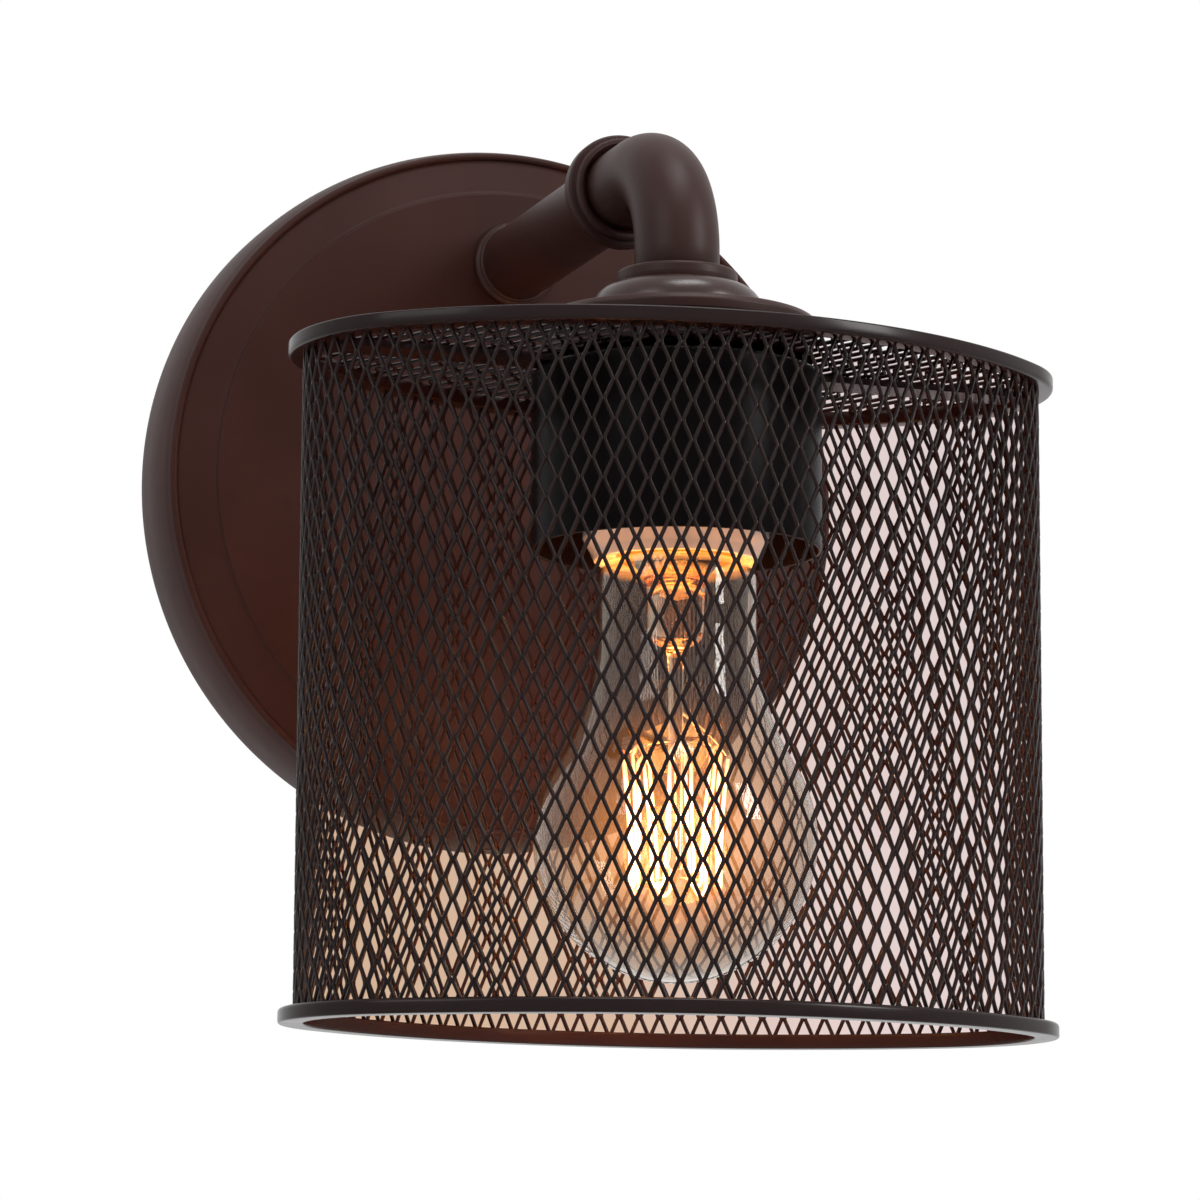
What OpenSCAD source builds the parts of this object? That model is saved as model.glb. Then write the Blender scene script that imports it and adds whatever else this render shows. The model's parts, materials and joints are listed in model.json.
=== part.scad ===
// Wall light with an oval expanded-metal cage hung from a pipe arm.
// Millimetres, +Z up. The wall is the plane Y = 0 and the light reaches along -Y.
// The origin is the centre of the backplate, on the wall.

/* [Backplate] */
// Diameter of the backplate where it meets the wall
plate_d = 171; // [160:1:200]
// Depth from the wall to the raised centre of the backplate
plate_depth = 22.6; // [21:0.2:28]
// Diameter of the raised centre disc
raised_d = 146; // [138:1:148]
// Height of the step round the raised centre disc
raised_h = 0.9; // [0.5:0.1:1.5]
// How far the flat ring falls from the step to the edge bead
ring_fall = 2.4; // [1.5:0.1:3.5]
// Radius of the bead round the edge of the face
bead_r = 0.9; // [0.6:0.1:1.2]
// Thickness of the spun sheet of the backplate
plate_t = 1.2; // [0.8:0.1:1.6]

/* [Wall bracket] */
// Width of the crossbar
bar_w = 18; // [16:1:24]
// Thickness of the crossbar
bar_t = 2; // [1.6:0.2:3]
// Depth of the bent tabs at the ends of the crossbar
tab_depth = 14; // [12:1:16]
// Distance between the middles of the two screw slots
slot_pitch = 79.4; // [76:0.2:84]
// Length of a screw slot, end to end
slot_l = 16; // [12:1:18]
// Width of a screw slot
slot_w = 4.8; // [4.4:0.2:6]
// Diameter of the wiring hole in the crossbar
wire_hole_d = 14; // [10:1:16]
// Diameter of the screws that hold the backplate
edge_screw_d = 4; // [3:0.5:5]
// Distance from the wall to the screws that hold the backplate
edge_screw_depth = 8; // [7:0.5:9]

/* [Arm] */
// Height of the arm above the centre of the backplate
arm_height = 55; // [50:1:58]
// Distance from the wall to the upright end of the arm
arm_reach = 136; // [134:1:160]
// Diameter of the straight tube
tube_d = 18; // [16:0.5:18]
// Diameter of the elbow
elbow_d = 18.6; // [18:0.2:20]
// Bend radius of the elbow, along its centre line
bend_r = 22; // [20:1:24]
// Length of the straight end below the bend of the elbow
elbow_leg = 4.7; // [4:0.1:8]
// Bore of the tube and of the elbow
pipe_bore_d = 10.2; // [9.2:0.2:10.6]
// Distance from the wall to the joint of the tube and the elbow
joint_depth = 100; // [94:1:104]
// Diameter of the ring where the tube meets the backplate
flange_d = 20.8; // [20:0.2:24]
// Length of that ring
flange_l = 4; // [3:0.5:6]
// Diameter of the collar over the joint
collar_d = 26; // [24:0.5:30]
// Length of the wide step of the collar
collar_wide_l = 3.6; // [3:0.2:6]
// Length of the narrow step of the collar
collar_narrow_l = 2.4; // [2:0.2:4]

/* [Shade holder] */
// Diameter of the ring under the elbow
ring_d = 26.4; // [24:0.2:30]
// Height of the ring
ring_h = 3.4; // [3:0.1:5]
// Diameter of the dome at its foot
dome_d = 39; // [36:0.5:44]
// Height of the dome
dome_h = 7.1; // [6:0.1:10]
// Diameter of the fitter cap that sits on the cage
fitter_d = 62; // [58:1:66]
// Height of the fitter cap
fitter_h = 9.6; // [9:0.1:12]
// Wall of the fitter cap
fitter_t = 1.6; // [1.2:0.1:2]

/* [Cage] */
// Length of the oval cage over its rims
cage_l = 172; // [166:1:200]
// Width of the oval cage over its rims, from the wall outwards
cage_w = 110; // [106:1:122]
// Height of the cage over its rims
cage_h = 145; // [135:1:170]
// Radius of the rounded ends of the oval, over the rims
end_r = 36; // [33:1:42]
// Height of a rim
rim_h = 3.2; // [2.8:0.1:4]
// How far a rim stands out from the mesh
rim_out = 2.9; // [2.4:0.1:3.5]
// Width of the lip of a rim inside the mesh
rim_in = 0.9; // [0.7:0.1:1.2]
// Depth of the slot in a rim that takes the edge of the mesh
rim_slot = 2.1; // [1.6:0.1:2.2]
// Thickness of the expanded metal
mesh_t = 1.2; // [0.9:0.1:1.5]
// Width of a strand at its back
strand_w = 1.9; // [1.4:0.1:2.4]
// Number of diamonds round the cage
mesh_columns = 44; // [36:2:46]
// Number of half rows of diamonds from rim to rim
mesh_half_rows = 16; // [12:2:16]
// Width of the strap under the top mesh
strap_w = 9; // [8:0.5:12]
// Thickness of the strap under the top mesh
strap_t = 1.5; // [1.2:0.1:2]

/* [Socket] */
// Diameter of the black cup round the socket
cup_d = 63; // [60:1:66]
// Length of the cup
cup_l = 39; // [38:1:44]
// Wall of the cup
cup_t = 1; // [0.8:0.1:1.4]
// Diameter of the porcelain body at its mouth
porcelain_d = 40.6; // [39:0.2:42]
// Diameter of the porcelain body above its mouth ring
porcelain_neck_d = 34; // [33:0.5:36]
// Height of the mouth ring of the porcelain body
mouth_ring_h = 11; // [9:0.5:13]
// How far the porcelain stands out of the cup
porcelain_drop = 2.4; // [1.5:0.1:3]
// Diameter of the mouth of the porcelain body
mouth_d = 31; // [30:0.5:32]
// Inner diameter of the screw shell
shell_d = 26.7; // [26.5:0.1:27.2]
// Wall of the screw shell
shell_t = 0.5; // [0.4:0.1:0.7]

/* [Bulb] */
// Greatest diameter of the bulb
bulb_d = 61; // [56:1:64]
// Length of the bulb from its contact to its tip
bulb_l = 116.5; // [112:0.5:118]
// Diameter of the neck of the glass
neck_d = 34.6; // [32:0.2:36]
// Length of the straight neck of the glass
neck_l = 10.5; // [8:0.5:12]
// Thickness of the glass
glass_t = 0.8; // [0.6:0.1:1]
// Diameter of the screw cap of the bulb
cap_d = 26; // [25.6:0.1:26.2]
// Length of the screw cap of the bulb
cap_l = 22; // [20:0.5:23]
// Diameter of the cage of the filament
filament_d = 23; // [18:1:26]
// Height of the cage of the filament
filament_h = 27; // [20:1:32]
// Number of upright runs of the filament
filament_runs = 14; // [8:2:16]

/* [Wiring] */
// Diameter of the insulated leads
lead_d = 2.2; // [1.8:0.1:2.6]
// Distance between the middles of the two leads inside the arm
lead_pitch = 3.2; // [2.8:0.1:3.6]
// Diameter of the threaded nipples
nipple_d = 10; // [9:0.2:10]
// Bore of the threaded nipples
nipple_bore_d = 7; // [6.4:0.1:7.2]

/* [Hidden] */

$fn = 96;

// Clearances
fit = 0.05;   // a part that slides over or into another
weld = 0.1;   // a curved face beside the face it is welded to
cut = 1;      // how far a cutting solid runs past the face it opens

// Backplate, as radius and depth from the wall
plate_r = plate_d / 2;
raised_r = raised_d / 2;
ring_depth = plate_depth - raised_h;
edge_depth = ring_depth - ring_fall;
bead_at = plate_r - 3;
wall_turn = 6;      // straight part of the side wall beside the wall
wall_lean = 1.6;    // how far the side wall leans in towards the face
tube_hole_r = nipple_d / 2 + fit;

// Wall bracket
tab_gap = 3;
tab_out = plate_r - plate_t - tab_gap;
edge_screw_l = 9;
edge_hole_d = edge_screw_d + 2 * fit;
ground_screw_z = -21;
ground_thread_r = 2;

// Arm
tube_r = tube_d / 2;
elbow_r = elbow_d / 2;
pipe_bore_r = pipe_bore_d / 2;
bend_depth = arm_reach - bend_r;
bend_z = arm_height - bend_r;
elbow_foot_z = bend_z - elbow_leg;
collar_start = joint_depth - collar_wide_l / 2 - 0.7;
collar_end = collar_start + collar_wide_l + collar_narrow_l;
nipple_r = nipple_d / 2;
nipple_bore_r = nipple_bore_d / 2;
washer_t = 1.2;
nut_across = 14;
arm_nut_h = 3.6;
nipple_tail = 2.4;

// Shade holder, from the elbow down to the cage
ring_z = elbow_foot_z - ring_h;
dome_z = ring_z - dome_h;
cage_top_z = dome_z - fitter_h;
cage_bottom_z = cage_top_z - cage_h;
dome_r = dome_d / 2;
fitter_r = fitter_d / 2;

// Cage, an oval of two end arcs and two side arcs
end_centre = cage_l / 2 - end_r;
half_gap = cage_w / 2 - end_r;
side_centre = (end_centre * end_centre - half_gap * half_gap) / (2 * half_gap);
side_r = cage_w / 2 + side_centre;
arc_turn = atan2(side_centre, end_centre);   // half the angle of an end arc
arc_lap = 0.002;                             // how far, in degrees, the arcs run together
panel_t = 1;
mesh_in = rim_out + weld;                  // inset of the outer face of the mesh
mesh_mid = mesh_in + mesh_t / 2;
mesh_pitch = oval_length(mesh_mid) / mesh_columns;
// how far a straight half pitch of the mesh falls inside the end arc
mesh_sag = mesh_pitch * mesh_pitch / (32 * (end_r - mesh_mid));
slot_end = rim_out + mesh_t + 2 * weld + mesh_sag;   // inset of the inner side of a slot
rim_w = slot_end + rim_in;
panel_z = cage_top_z - panel_t;
strap_z = panel_z - strap_t;
top_rim_z = cage_top_z - rim_h;
mesh_low_z = cage_bottom_z + rim_h - rim_slot + weld;
mesh_high_z = top_rim_z + rim_slot - weld;
mesh_band = rim_slot;                      // plain band of the mesh inside a slot
mesh_rise = (mesh_high_z - mesh_low_z - 2 * mesh_band) / mesh_half_rows;
panel_border = 2;
hub_r = nipple_r + 4;                      // solid disc round the stem in panel and strap

// Socket
cup_r = cup_d / 2;
cup_top_z = strap_z;
cup_mouth_z = cup_top_z - cup_l;
mouth_z = cup_mouth_z - porcelain_drop;
stem_nut_h = 3;
stem_nut_z = cup_top_z - cup_t - stem_nut_h;
bracket_t = 1.3;
bracket_z = stem_nut_z - bracket_t;
bracket_half = 14;
bracket_w = nipple_d + 4;
bracket_leg = 6.3;
foot_l = 8;
foot_screw_x = bracket_half - 4.5;
foot_screw_r = 1.7;
foot_screw_l = 2.4;
porcelain_top_z = bracket_z - bracket_leg;
shell_r = shell_d / 2;
shell_out_r = shell_r + shell_t;
cavity_top_z = porcelain_top_z - 3.4;
mouth_chamfer = 2.6;
shell_bottom_z = mouth_z + 4;
spring_l = 12;      // sprung contact at the back of the socket
spring_w = 5;
spring_t = 0.6;

// Bulb
bulb_r = bulb_d / 2;
neck_r = neck_d / 2;
cap_r = cap_d / 2;
contact_z = cavity_top_z - spring_t - fit;
bulb_tip_z = contact_z - bulb_l;
cap_insulator_h = 2.6;
cap_insulator_r = 10.5;
cap_plug_h = 1;              // part of the insulator inside the hole of the cap
cap_hole_r = 8;
cap_contact_h = 0.9;
cap_contact_r = 4.8;
cap_contact_top_r = 3.6;
cap_top_z = contact_z - cap_contact_h - cap_insulator_h;
cap_bottom_z = cap_top_z - cap_l;
cap_t = 0.5;
glass_root_r = cap_r - cap_t - fit;
glass_root_l = 6;
shoulder_l = 4.2;
neck_top_z = cap_bottom_z - shoulder_l;
neck_end_z = neck_top_z - neck_l;
globe_z = bulb_tip_z + bulb_r;
stem_r = 6.2;
stem_rod_r = 1.7;
stem_end_z = neck_end_z - 3;
filament_high_z = globe_z + 17.5;
filament_low_z = filament_high_z - filament_h;
filament_r = filament_d / 2;
filament_wire_r = 0.3;
filament_joint_r = 1.4 * filament_wire_r;
support_wire_r = 0.3;
rod_end_z = filament_low_z + 3;

// Leads
lead_r = lead_d / 2;
lead_bend_r = 4.5;
lead_out = 10;
pan_bend_r = 6;
pan_lead_depth = 8;
pan_lead_low_z = 8;
lead_tip_l = 9;
lead_tip_r = 0.6;
terminal_r = 3;
terminal_plate_h = 0.9;
terminal_h = 2.6;

// Points of an arc, from angle a to angle b
function arc(centre, r, a, b, steps) =
    [for (i = [0:steps])
        let (t = a + (b - a) * i / steps)
        [centre[0] + r * cos(t), centre[1] + r * sin(t)]];

// Turns local +Z to -Y, out of the wall, and keeps local +Y upright
module out_of_wall() {
    rotate([90, 0, 0]) children();
}

// Moves to the upright axis of the cage
module at_cage_axis() {
    translate([0, -arm_reach, 0]) children();
}

// A ring or tube along Z
module tube(outer_r, inner_r, h) {
    difference() {
        cylinder(r = outer_r, h = h);
        translate([0, 0, -cut]) cylinder(r = inner_r, h = h + 2 * cut);
    }
}

// A hex nut along Z
module hex_nut(across, bore_r, h) {
    difference() {
        cylinder(d = across / cos(30), h = h, $fn = 6);
        translate([0, 0, -cut]) cylinder(r = bore_r, h = h + 2 * cut);
    }
}

// ---- Backplate and what holds it to the wall ----

module backplate() {
    bead_depth = edge_depth - 0.2;
    outline = concat(
        [[plate_r, 0], [plate_r, wall_turn]],
        [for (i = [1:6])
            let (t = i / 6)
            [plate_r - wall_lean * t * t, wall_turn + (edge_depth - wall_turn - 1.4) * t]],
        arc([bead_at, bead_depth], bead_r, -10, 190, 10),
        [[bead_at - bead_r - 0.5, edge_depth], [raised_r + 0.5, ring_depth],
         [raised_r, ring_depth + raised_h * 0.3], [raised_r - 0.4, plate_depth],
         [0, plate_depth], [0, plate_depth - plate_t],
         [raised_r - plate_t, plate_depth - plate_t],
         [raised_r - plate_t, ring_depth - plate_t],
         [bead_at - bead_r - 0.5, edge_depth - plate_t - 0.4],
         [plate_r - wall_lean - plate_t, edge_depth - plate_t - 1.6],
         [plate_r - plate_t, wall_turn], [plate_r - plate_t, 0]]);
    color("#3f312e")
    difference() {
        out_of_wall() rotate_extrude($fn = 180) polygon(outline);
        translate([0, 0, arm_height])
            out_of_wall() cylinder(r = tube_hole_r, h = plate_depth + cut);
        translate([0, -edge_screw_depth, -plate_r - cut])
            cylinder(d = edge_hole_d, h = 2 * (plate_r + cut));
    }
}

// Cuts a slot, long side up, through the crossbar
module screw_slot() {
    straight = slot_l - slot_w;
    depth = bar_t + 2 * cut;
    for (end = [-1, 1])
        translate([0, cut, end * straight / 2])
            out_of_wall() cylinder(d = slot_w, h = depth);
    translate([-slot_w / 2, cut - depth, -straight / 2]) cube([slot_w, depth, straight]);
}

module crossbar() {
    color("#b9b9b4")
    difference() {
        union() {
            translate([-bar_w / 2, -bar_t, -tab_out]) cube([bar_w, bar_t, 2 * tab_out]);
            for (side = [0, 1])
                mirror([0, 0, side])
                    translate([-bar_w / 2, -tab_depth, tab_out - bar_t])
                        cube([bar_w, tab_depth, bar_t]);
        }
        for (side = [-1, 1])
            translate([0, 0, side * slot_pitch / 2]) screw_slot();
        translate([0, cut, 0]) out_of_wall() cylinder(d = wire_hole_d, h = bar_t + 2 * cut);
        translate([0, cut, ground_screw_z])
            out_of_wall() cylinder(r = ground_thread_r + fit, h = bar_t + 2 * cut);
        translate([0, -edge_screw_depth, -tab_out - cut])
            cylinder(d = edge_hole_d, h = 2 * (tab_out + cut));
    }
}

// Headless hex-socket screws through the edge of the backplate, above and below
module backplate_screws() {
    color("#3f312e")
    for (side = [0, 1])
        mirror([0, 0, side])
            translate([0, -edge_screw_depth, plate_r - edge_screw_l])
                difference() {
                    cylinder(d = edge_screw_d, h = edge_screw_l);
                    translate([0, 0, edge_screw_l - 2])
                        cylinder(d = edge_screw_d / 2, h = 2 + cut, $fn = 6);
                }
}

module ground_screw() {
    head_r = 3.6;
    head_h = 2;
    color("#3f7a4a")
    translate([0, 0, ground_screw_z])
        out_of_wall()
            difference() {
                union() {
                    cylinder(r = ground_thread_r, h = bar_t + head_h);
                    translate([0, 0, bar_t]) cylinder(r = head_r, h = head_h);
                }
                translate([-head_r, -0.5, bar_t + head_h - 0.9])
                    cube([2 * head_r, 1, 0.9 + cut]);
            }
}

// ---- Arm ----

// A rod along the path of the arm: out from the wall, round the bend and down
module arm_rod(r, x, from_depth, foot_z) {
    translate([x, 0, 0]) {
        translate([0, -from_depth, arm_height])
            out_of_wall() cylinder(r = r, h = bend_depth - from_depth);
        translate([0, -bend_depth, bend_z])
            rotate([90, 0, -90])
                rotate_extrude(angle = 90) translate([bend_r, 0]) circle(r = r);
        translate([0, -arm_reach, foot_z]) cylinder(r = r, h = bend_z - foot_z);
    }
}

module arm_flange() {
    step_r = flange_d / 2 - 0.7;
    big_l = flange_l * 0.6;
    outline = concat(
        [[tube_r + fit, 0], [flange_d / 2 - 0.5, 0]],
        arc([flange_d / 2 - big_l / 2, big_l / 2], big_l / 2, -75, 75, 8),
        [[step_r - 0.5, big_l]],
        arc([step_r - 0.6, big_l + 0.7], 0.6, -40, 80, 5),
        [[tube_r + fit, flange_l]]);
    color("#40322f")
    translate([0, -plate_depth, arm_height])
        out_of_wall() rotate_extrude() polygon(outline);
}

module arm_tube() {
    color("#3d302d")
    translate([0, -plate_depth, arm_height])
        out_of_wall() tube(tube_r, pipe_bore_r, joint_depth - plate_depth);
}

module arm_nipple() {
    inside = plate_depth - plate_t - washer_t - arm_nut_h - nipple_tail;
    color("#b8ad8e")
    translate([0, -inside, arm_height])
        out_of_wall() tube(nipple_r, nipple_bore_r, plate_depth + 10 - inside);
}

module arm_lock_washer() {
    color("#b9b9b4")
    translate([0, -(plate_depth - plate_t - washer_t), arm_height])
        out_of_wall() tube(nut_across / 2 + 2, nipple_r + fit, washer_t);
}

module arm_lock_nut() {
    color("#b8ad8e")
    translate([0, -(plate_depth - plate_t - washer_t - arm_nut_h), arm_height])
        out_of_wall() hex_nut(nut_across, nipple_r + fit, arm_nut_h);
}

// Short threaded nipple that joins the tube and the elbow
module arm_coupling() {
    color("#b8ad8e")
    translate([0, -(joint_depth - 9), arm_height])
        out_of_wall() tube(nipple_r, nipple_bore_r, 9 + bend_depth - joint_depth - 2);
}

module arm_collar() {
    wide_r = collar_d / 2;
    narrow_r = wide_r - 1.3;
    bore_r = elbow_r + fit;
    length = collar_wide_l + collar_narrow_l;
    edge = 0.6;
    outline = concat(
        [[bore_r, 0], [wide_r - edge, 0]],
        arc([wide_r - edge, edge], edge, -70, 0, 4),
        arc([wide_r - edge, collar_wide_l - edge], edge, 0, 80, 5),
        [[narrow_r, collar_wide_l]],
        arc([narrow_r - edge, length - edge], edge, 0, 90, 5),
        [[bore_r + 1.1, length], [bore_r, length - 1.2]]);
    color("#40322f")
    translate([0, -collar_start, arm_height])
        out_of_wall() rotate_extrude() polygon(outline);
}

module arm_elbow() {
    color("#40322f")
    difference() {
        arm_rod(elbow_r, 0, joint_depth, elbow_foot_z);
        arm_rod(pipe_bore_r, 0, joint_depth - cut, elbow_foot_z - cut);
    }
}

// ---- Shade holder ----

module holder_ring() {
    r = ring_d / 2;
    edge = 0.8;
    outline = concat(
        [[nipple_r + fit, 0], [r - edge, 0]],
        arc([r - edge, edge], edge, -80, 0, 4),
        arc([r - edge, ring_h - edge], edge, 0, 90, 5),
        [[nipple_r + fit, ring_h]]);
    color("#40322f")
    at_cage_axis() translate([0, 0, ring_z]) rotate_extrude() polygon(outline);
}

module holder_dome() {
    top_r = ring_d / 2 + 0.2;
    steps = 12;
    lip_h = 0.9;
    outline = concat(
        [[nipple_r + fit, 0], [dome_r, 0], [dome_r, lip_h * 0.6]],
        [for (i = [steps:-1:0])
            let (t = 90 * i / steps)
            [top_r + (dome_r - 0.5 - top_r) * sin(t),
             lip_h + (dome_h - lip_h) * cos(t)]],
        [[nipple_r + fit, dome_h]]);
    color("#40322f")
    at_cage_axis() translate([0, 0, dome_z]) rotate_extrude() polygon(outline);
}

// Shallow cap, hollow below, that clamps the top of the cage
module fitter_cap() {
    shoulder = 1;
    skirt_r = fitter_r - 1.4;
    lip_h = 3.6;
    outline = concat(
        [[nipple_r + fit, 0], [hub_r, 0], [hub_r, fitter_h - fitter_t],
         [skirt_r - fitter_t, fitter_h - fitter_t - 0.6], [skirt_r - fitter_t, 0],
         [skirt_r, 0], [skirt_r, fitter_h - lip_h - 1]],
        [[fitter_r - 0.3, fitter_h - lip_h]],
        arc([fitter_r - shoulder, fitter_h - 0.6 - shoulder], shoulder, 0, 85, 6),
        [[dome_r, fitter_h], [nipple_r + fit, fitter_h]]);
    color("#40322f")
    at_cage_axis() translate([0, 0, cage_top_z]) rotate_extrude() polygon(outline);
}

// Hollow threaded stem that hangs cage, cup and socket from the elbow
module stem_nipple() {
    color("#b8ad8e")
    at_cage_axis()
        translate([0, 0, bracket_z]) tube(nipple_r, nipple_bore_r, bend_z - bracket_z);
}

module stem_lock_nut() {
    color("#b8ad8e")
    at_cage_axis()
        translate([0, 0, stem_nut_z]) hex_nut(nut_across + 3, nipple_r + fit, stem_nut_h);
}

// ---- Cage ----

// The oval, drawn in from the rims by inset
module oval(inset) {
    turn_x = end_centre + (end_r - inset) * cos(arc_turn);
    for (x = [-1, 1])
        translate([x * end_centre, 0]) circle(r = end_r - inset);
    intersection() {
        translate([0, side_centre]) circle(r = side_r - inset, $fn = 240);
        translate([0, -side_centre]) circle(r = side_r - inset, $fn = 240);
        square([2 * turn_x, cage_w], center = true);
    }
}

// Sweeps a section round the oval. Its x runs inwards from the outside of the rims.
module oval_sweep() {
    for (x = [0, 1])
        mirror([x, 0, 0])
            translate([end_centre, 0, 0])
                rotate([0, 0, -arc_turn])
                    rotate_extrude(angle = 2 * arc_turn + arc_lap)
                        translate([end_r, 0]) mirror([1, 0]) children();
    for (y = [0, 1])
        mirror([0, y, 0])
            translate([0, -side_centre, 0])
                rotate([0, 0, arc_turn])
                    rotate_extrude(angle = 180 - 2 * arc_turn + arc_lap, $fn = 240)
                        translate([side_r, 0]) mirror([1, 0]) children();
}

// Section of a rim: a rolled bar with a slot that opens upwards for the mesh
module rim_section() {
    round_r = 0.8;
    edge = 0.3;
    slot_z = rim_h - rim_slot;
    outline = concat(
        [[edge, edge], [round_r, 0], [rim_w - edge, 0], [rim_w, edge], [rim_w, rim_h - edge],
         [rim_w - edge, rim_h], [slot_end, rim_h], [slot_end, slot_z], [rim_out, slot_z],
         [rim_out, rim_h]],
        arc([round_r, rim_h - round_r], round_r, 90, 180, 5));
    polygon(outline);
}

module cage_bottom_rim() {
    color("#201c1d")
    at_cage_axis() translate([0, 0, cage_bottom_z]) oval_sweep() rim_section();
}

module cage_top_rim() {
    color("#201c1d")
    at_cage_axis()
        translate([0, 0, cage_top_z]) mirror([0, 0, 1]) oval_sweep() rim_section();
}

// Flat panel of expanded metal that closes the top of the cage
module cage_top_mesh() {
    pitch_x = mesh_pitch;
    pitch_y = 2 * mesh_rise;
    half_x = pitch_x / 2 - strand_w * 0.55;
    half_y = pitch_y / 2 - strand_w;
    columns = ceil(cage_l / pitch_x / 2);
    rows = ceil(cage_w / pitch_y / 2);
    color("#201c1d")
    at_cage_axis()
        translate([0, 0, panel_z])
            linear_extrude(panel_t)
                difference() {
                    oval(rim_w + weld);
                    difference() {
                        intersection() {
                            for (i = [-columns:columns], j = [-rows:rows], k = [0, 0.5])
                                translate([(i + k) * pitch_x, (j + k) * pitch_y])
                                    polygon([[half_x, 0], [0, half_y],
                                             [-half_x, 0], [0, -half_y]]);
                            oval(rim_w + weld + panel_border);
                        }
                        circle(r = hub_r);
                    }
                    circle(r = nipple_r + fit);
                }
}

// Flat strap with a round eye, end to end under the top mesh, that carries the cage
module cage_strap() {
    color("#2a2425")
    at_cage_axis()
        translate([0, 0, strap_z])
            linear_extrude(strap_t)
                difference() {
                    union() {
                        intersection() {
                            oval(rim_w + weld);
                            square([cage_l, strap_w], center = true);
                        }
                        circle(r = hub_r);
                    }
                    circle(r = nipple_r + fit);
                }
}

// Point and outward direction at a distance s round an oval drawn in by inset
function oval_quarter(inset) =
    [(end_r - inset) * arc_turn * PI / 180,
     (side_r - inset) * (90 - arc_turn) * PI / 180];
function oval_length(inset) =
    let (q = oval_quarter(inset)) 4 * (q[0] + q[1]);
function oval_place(s, inset) =
    let (q = oval_quarter(inset),
         whole = 4 * (q[0] + q[1]),
         t = s - whole * floor(s / whole),
         quarter = q[0] + q[1])
    t < q[0] ? end_place(t / q[0] * arc_turn, 1) :
    t < q[0] + 2 * q[1] ? side_place(arc_turn + (t - q[0]) / q[1] * (90 - arc_turn), 1) :
    t < 3 * q[0] + 2 * q[1] ?
        end_place(180 - arc_turn + (t - q[0] - 2 * q[1]) / q[0] * arc_turn, -1) :
    t < 3 * q[0] + 4 * q[1] ?
        side_place(180 + arc_turn + (t - 3 * q[0] - 2 * q[1]) / q[1] * (90 - arc_turn), -1) :
    end_place(-arc_turn + (t - 3 * q[0] - 4 * q[1]) / q[0] * arc_turn, 1);
function end_place(angle, sign) =
    [[sign * end_centre, 0], [cos(angle), sin(angle)], end_r];
function side_place(angle, sign) =
    [[0, -sign * side_centre], [cos(angle), sin(angle)], side_r];
function oval_point(s, inset, z, drawn) =
    let (p = oval_place(s, inset), r = p[2] - drawn)
    [p[0][0] + r * p[1][0], p[0][1] + r * p[1][1], z];

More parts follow.
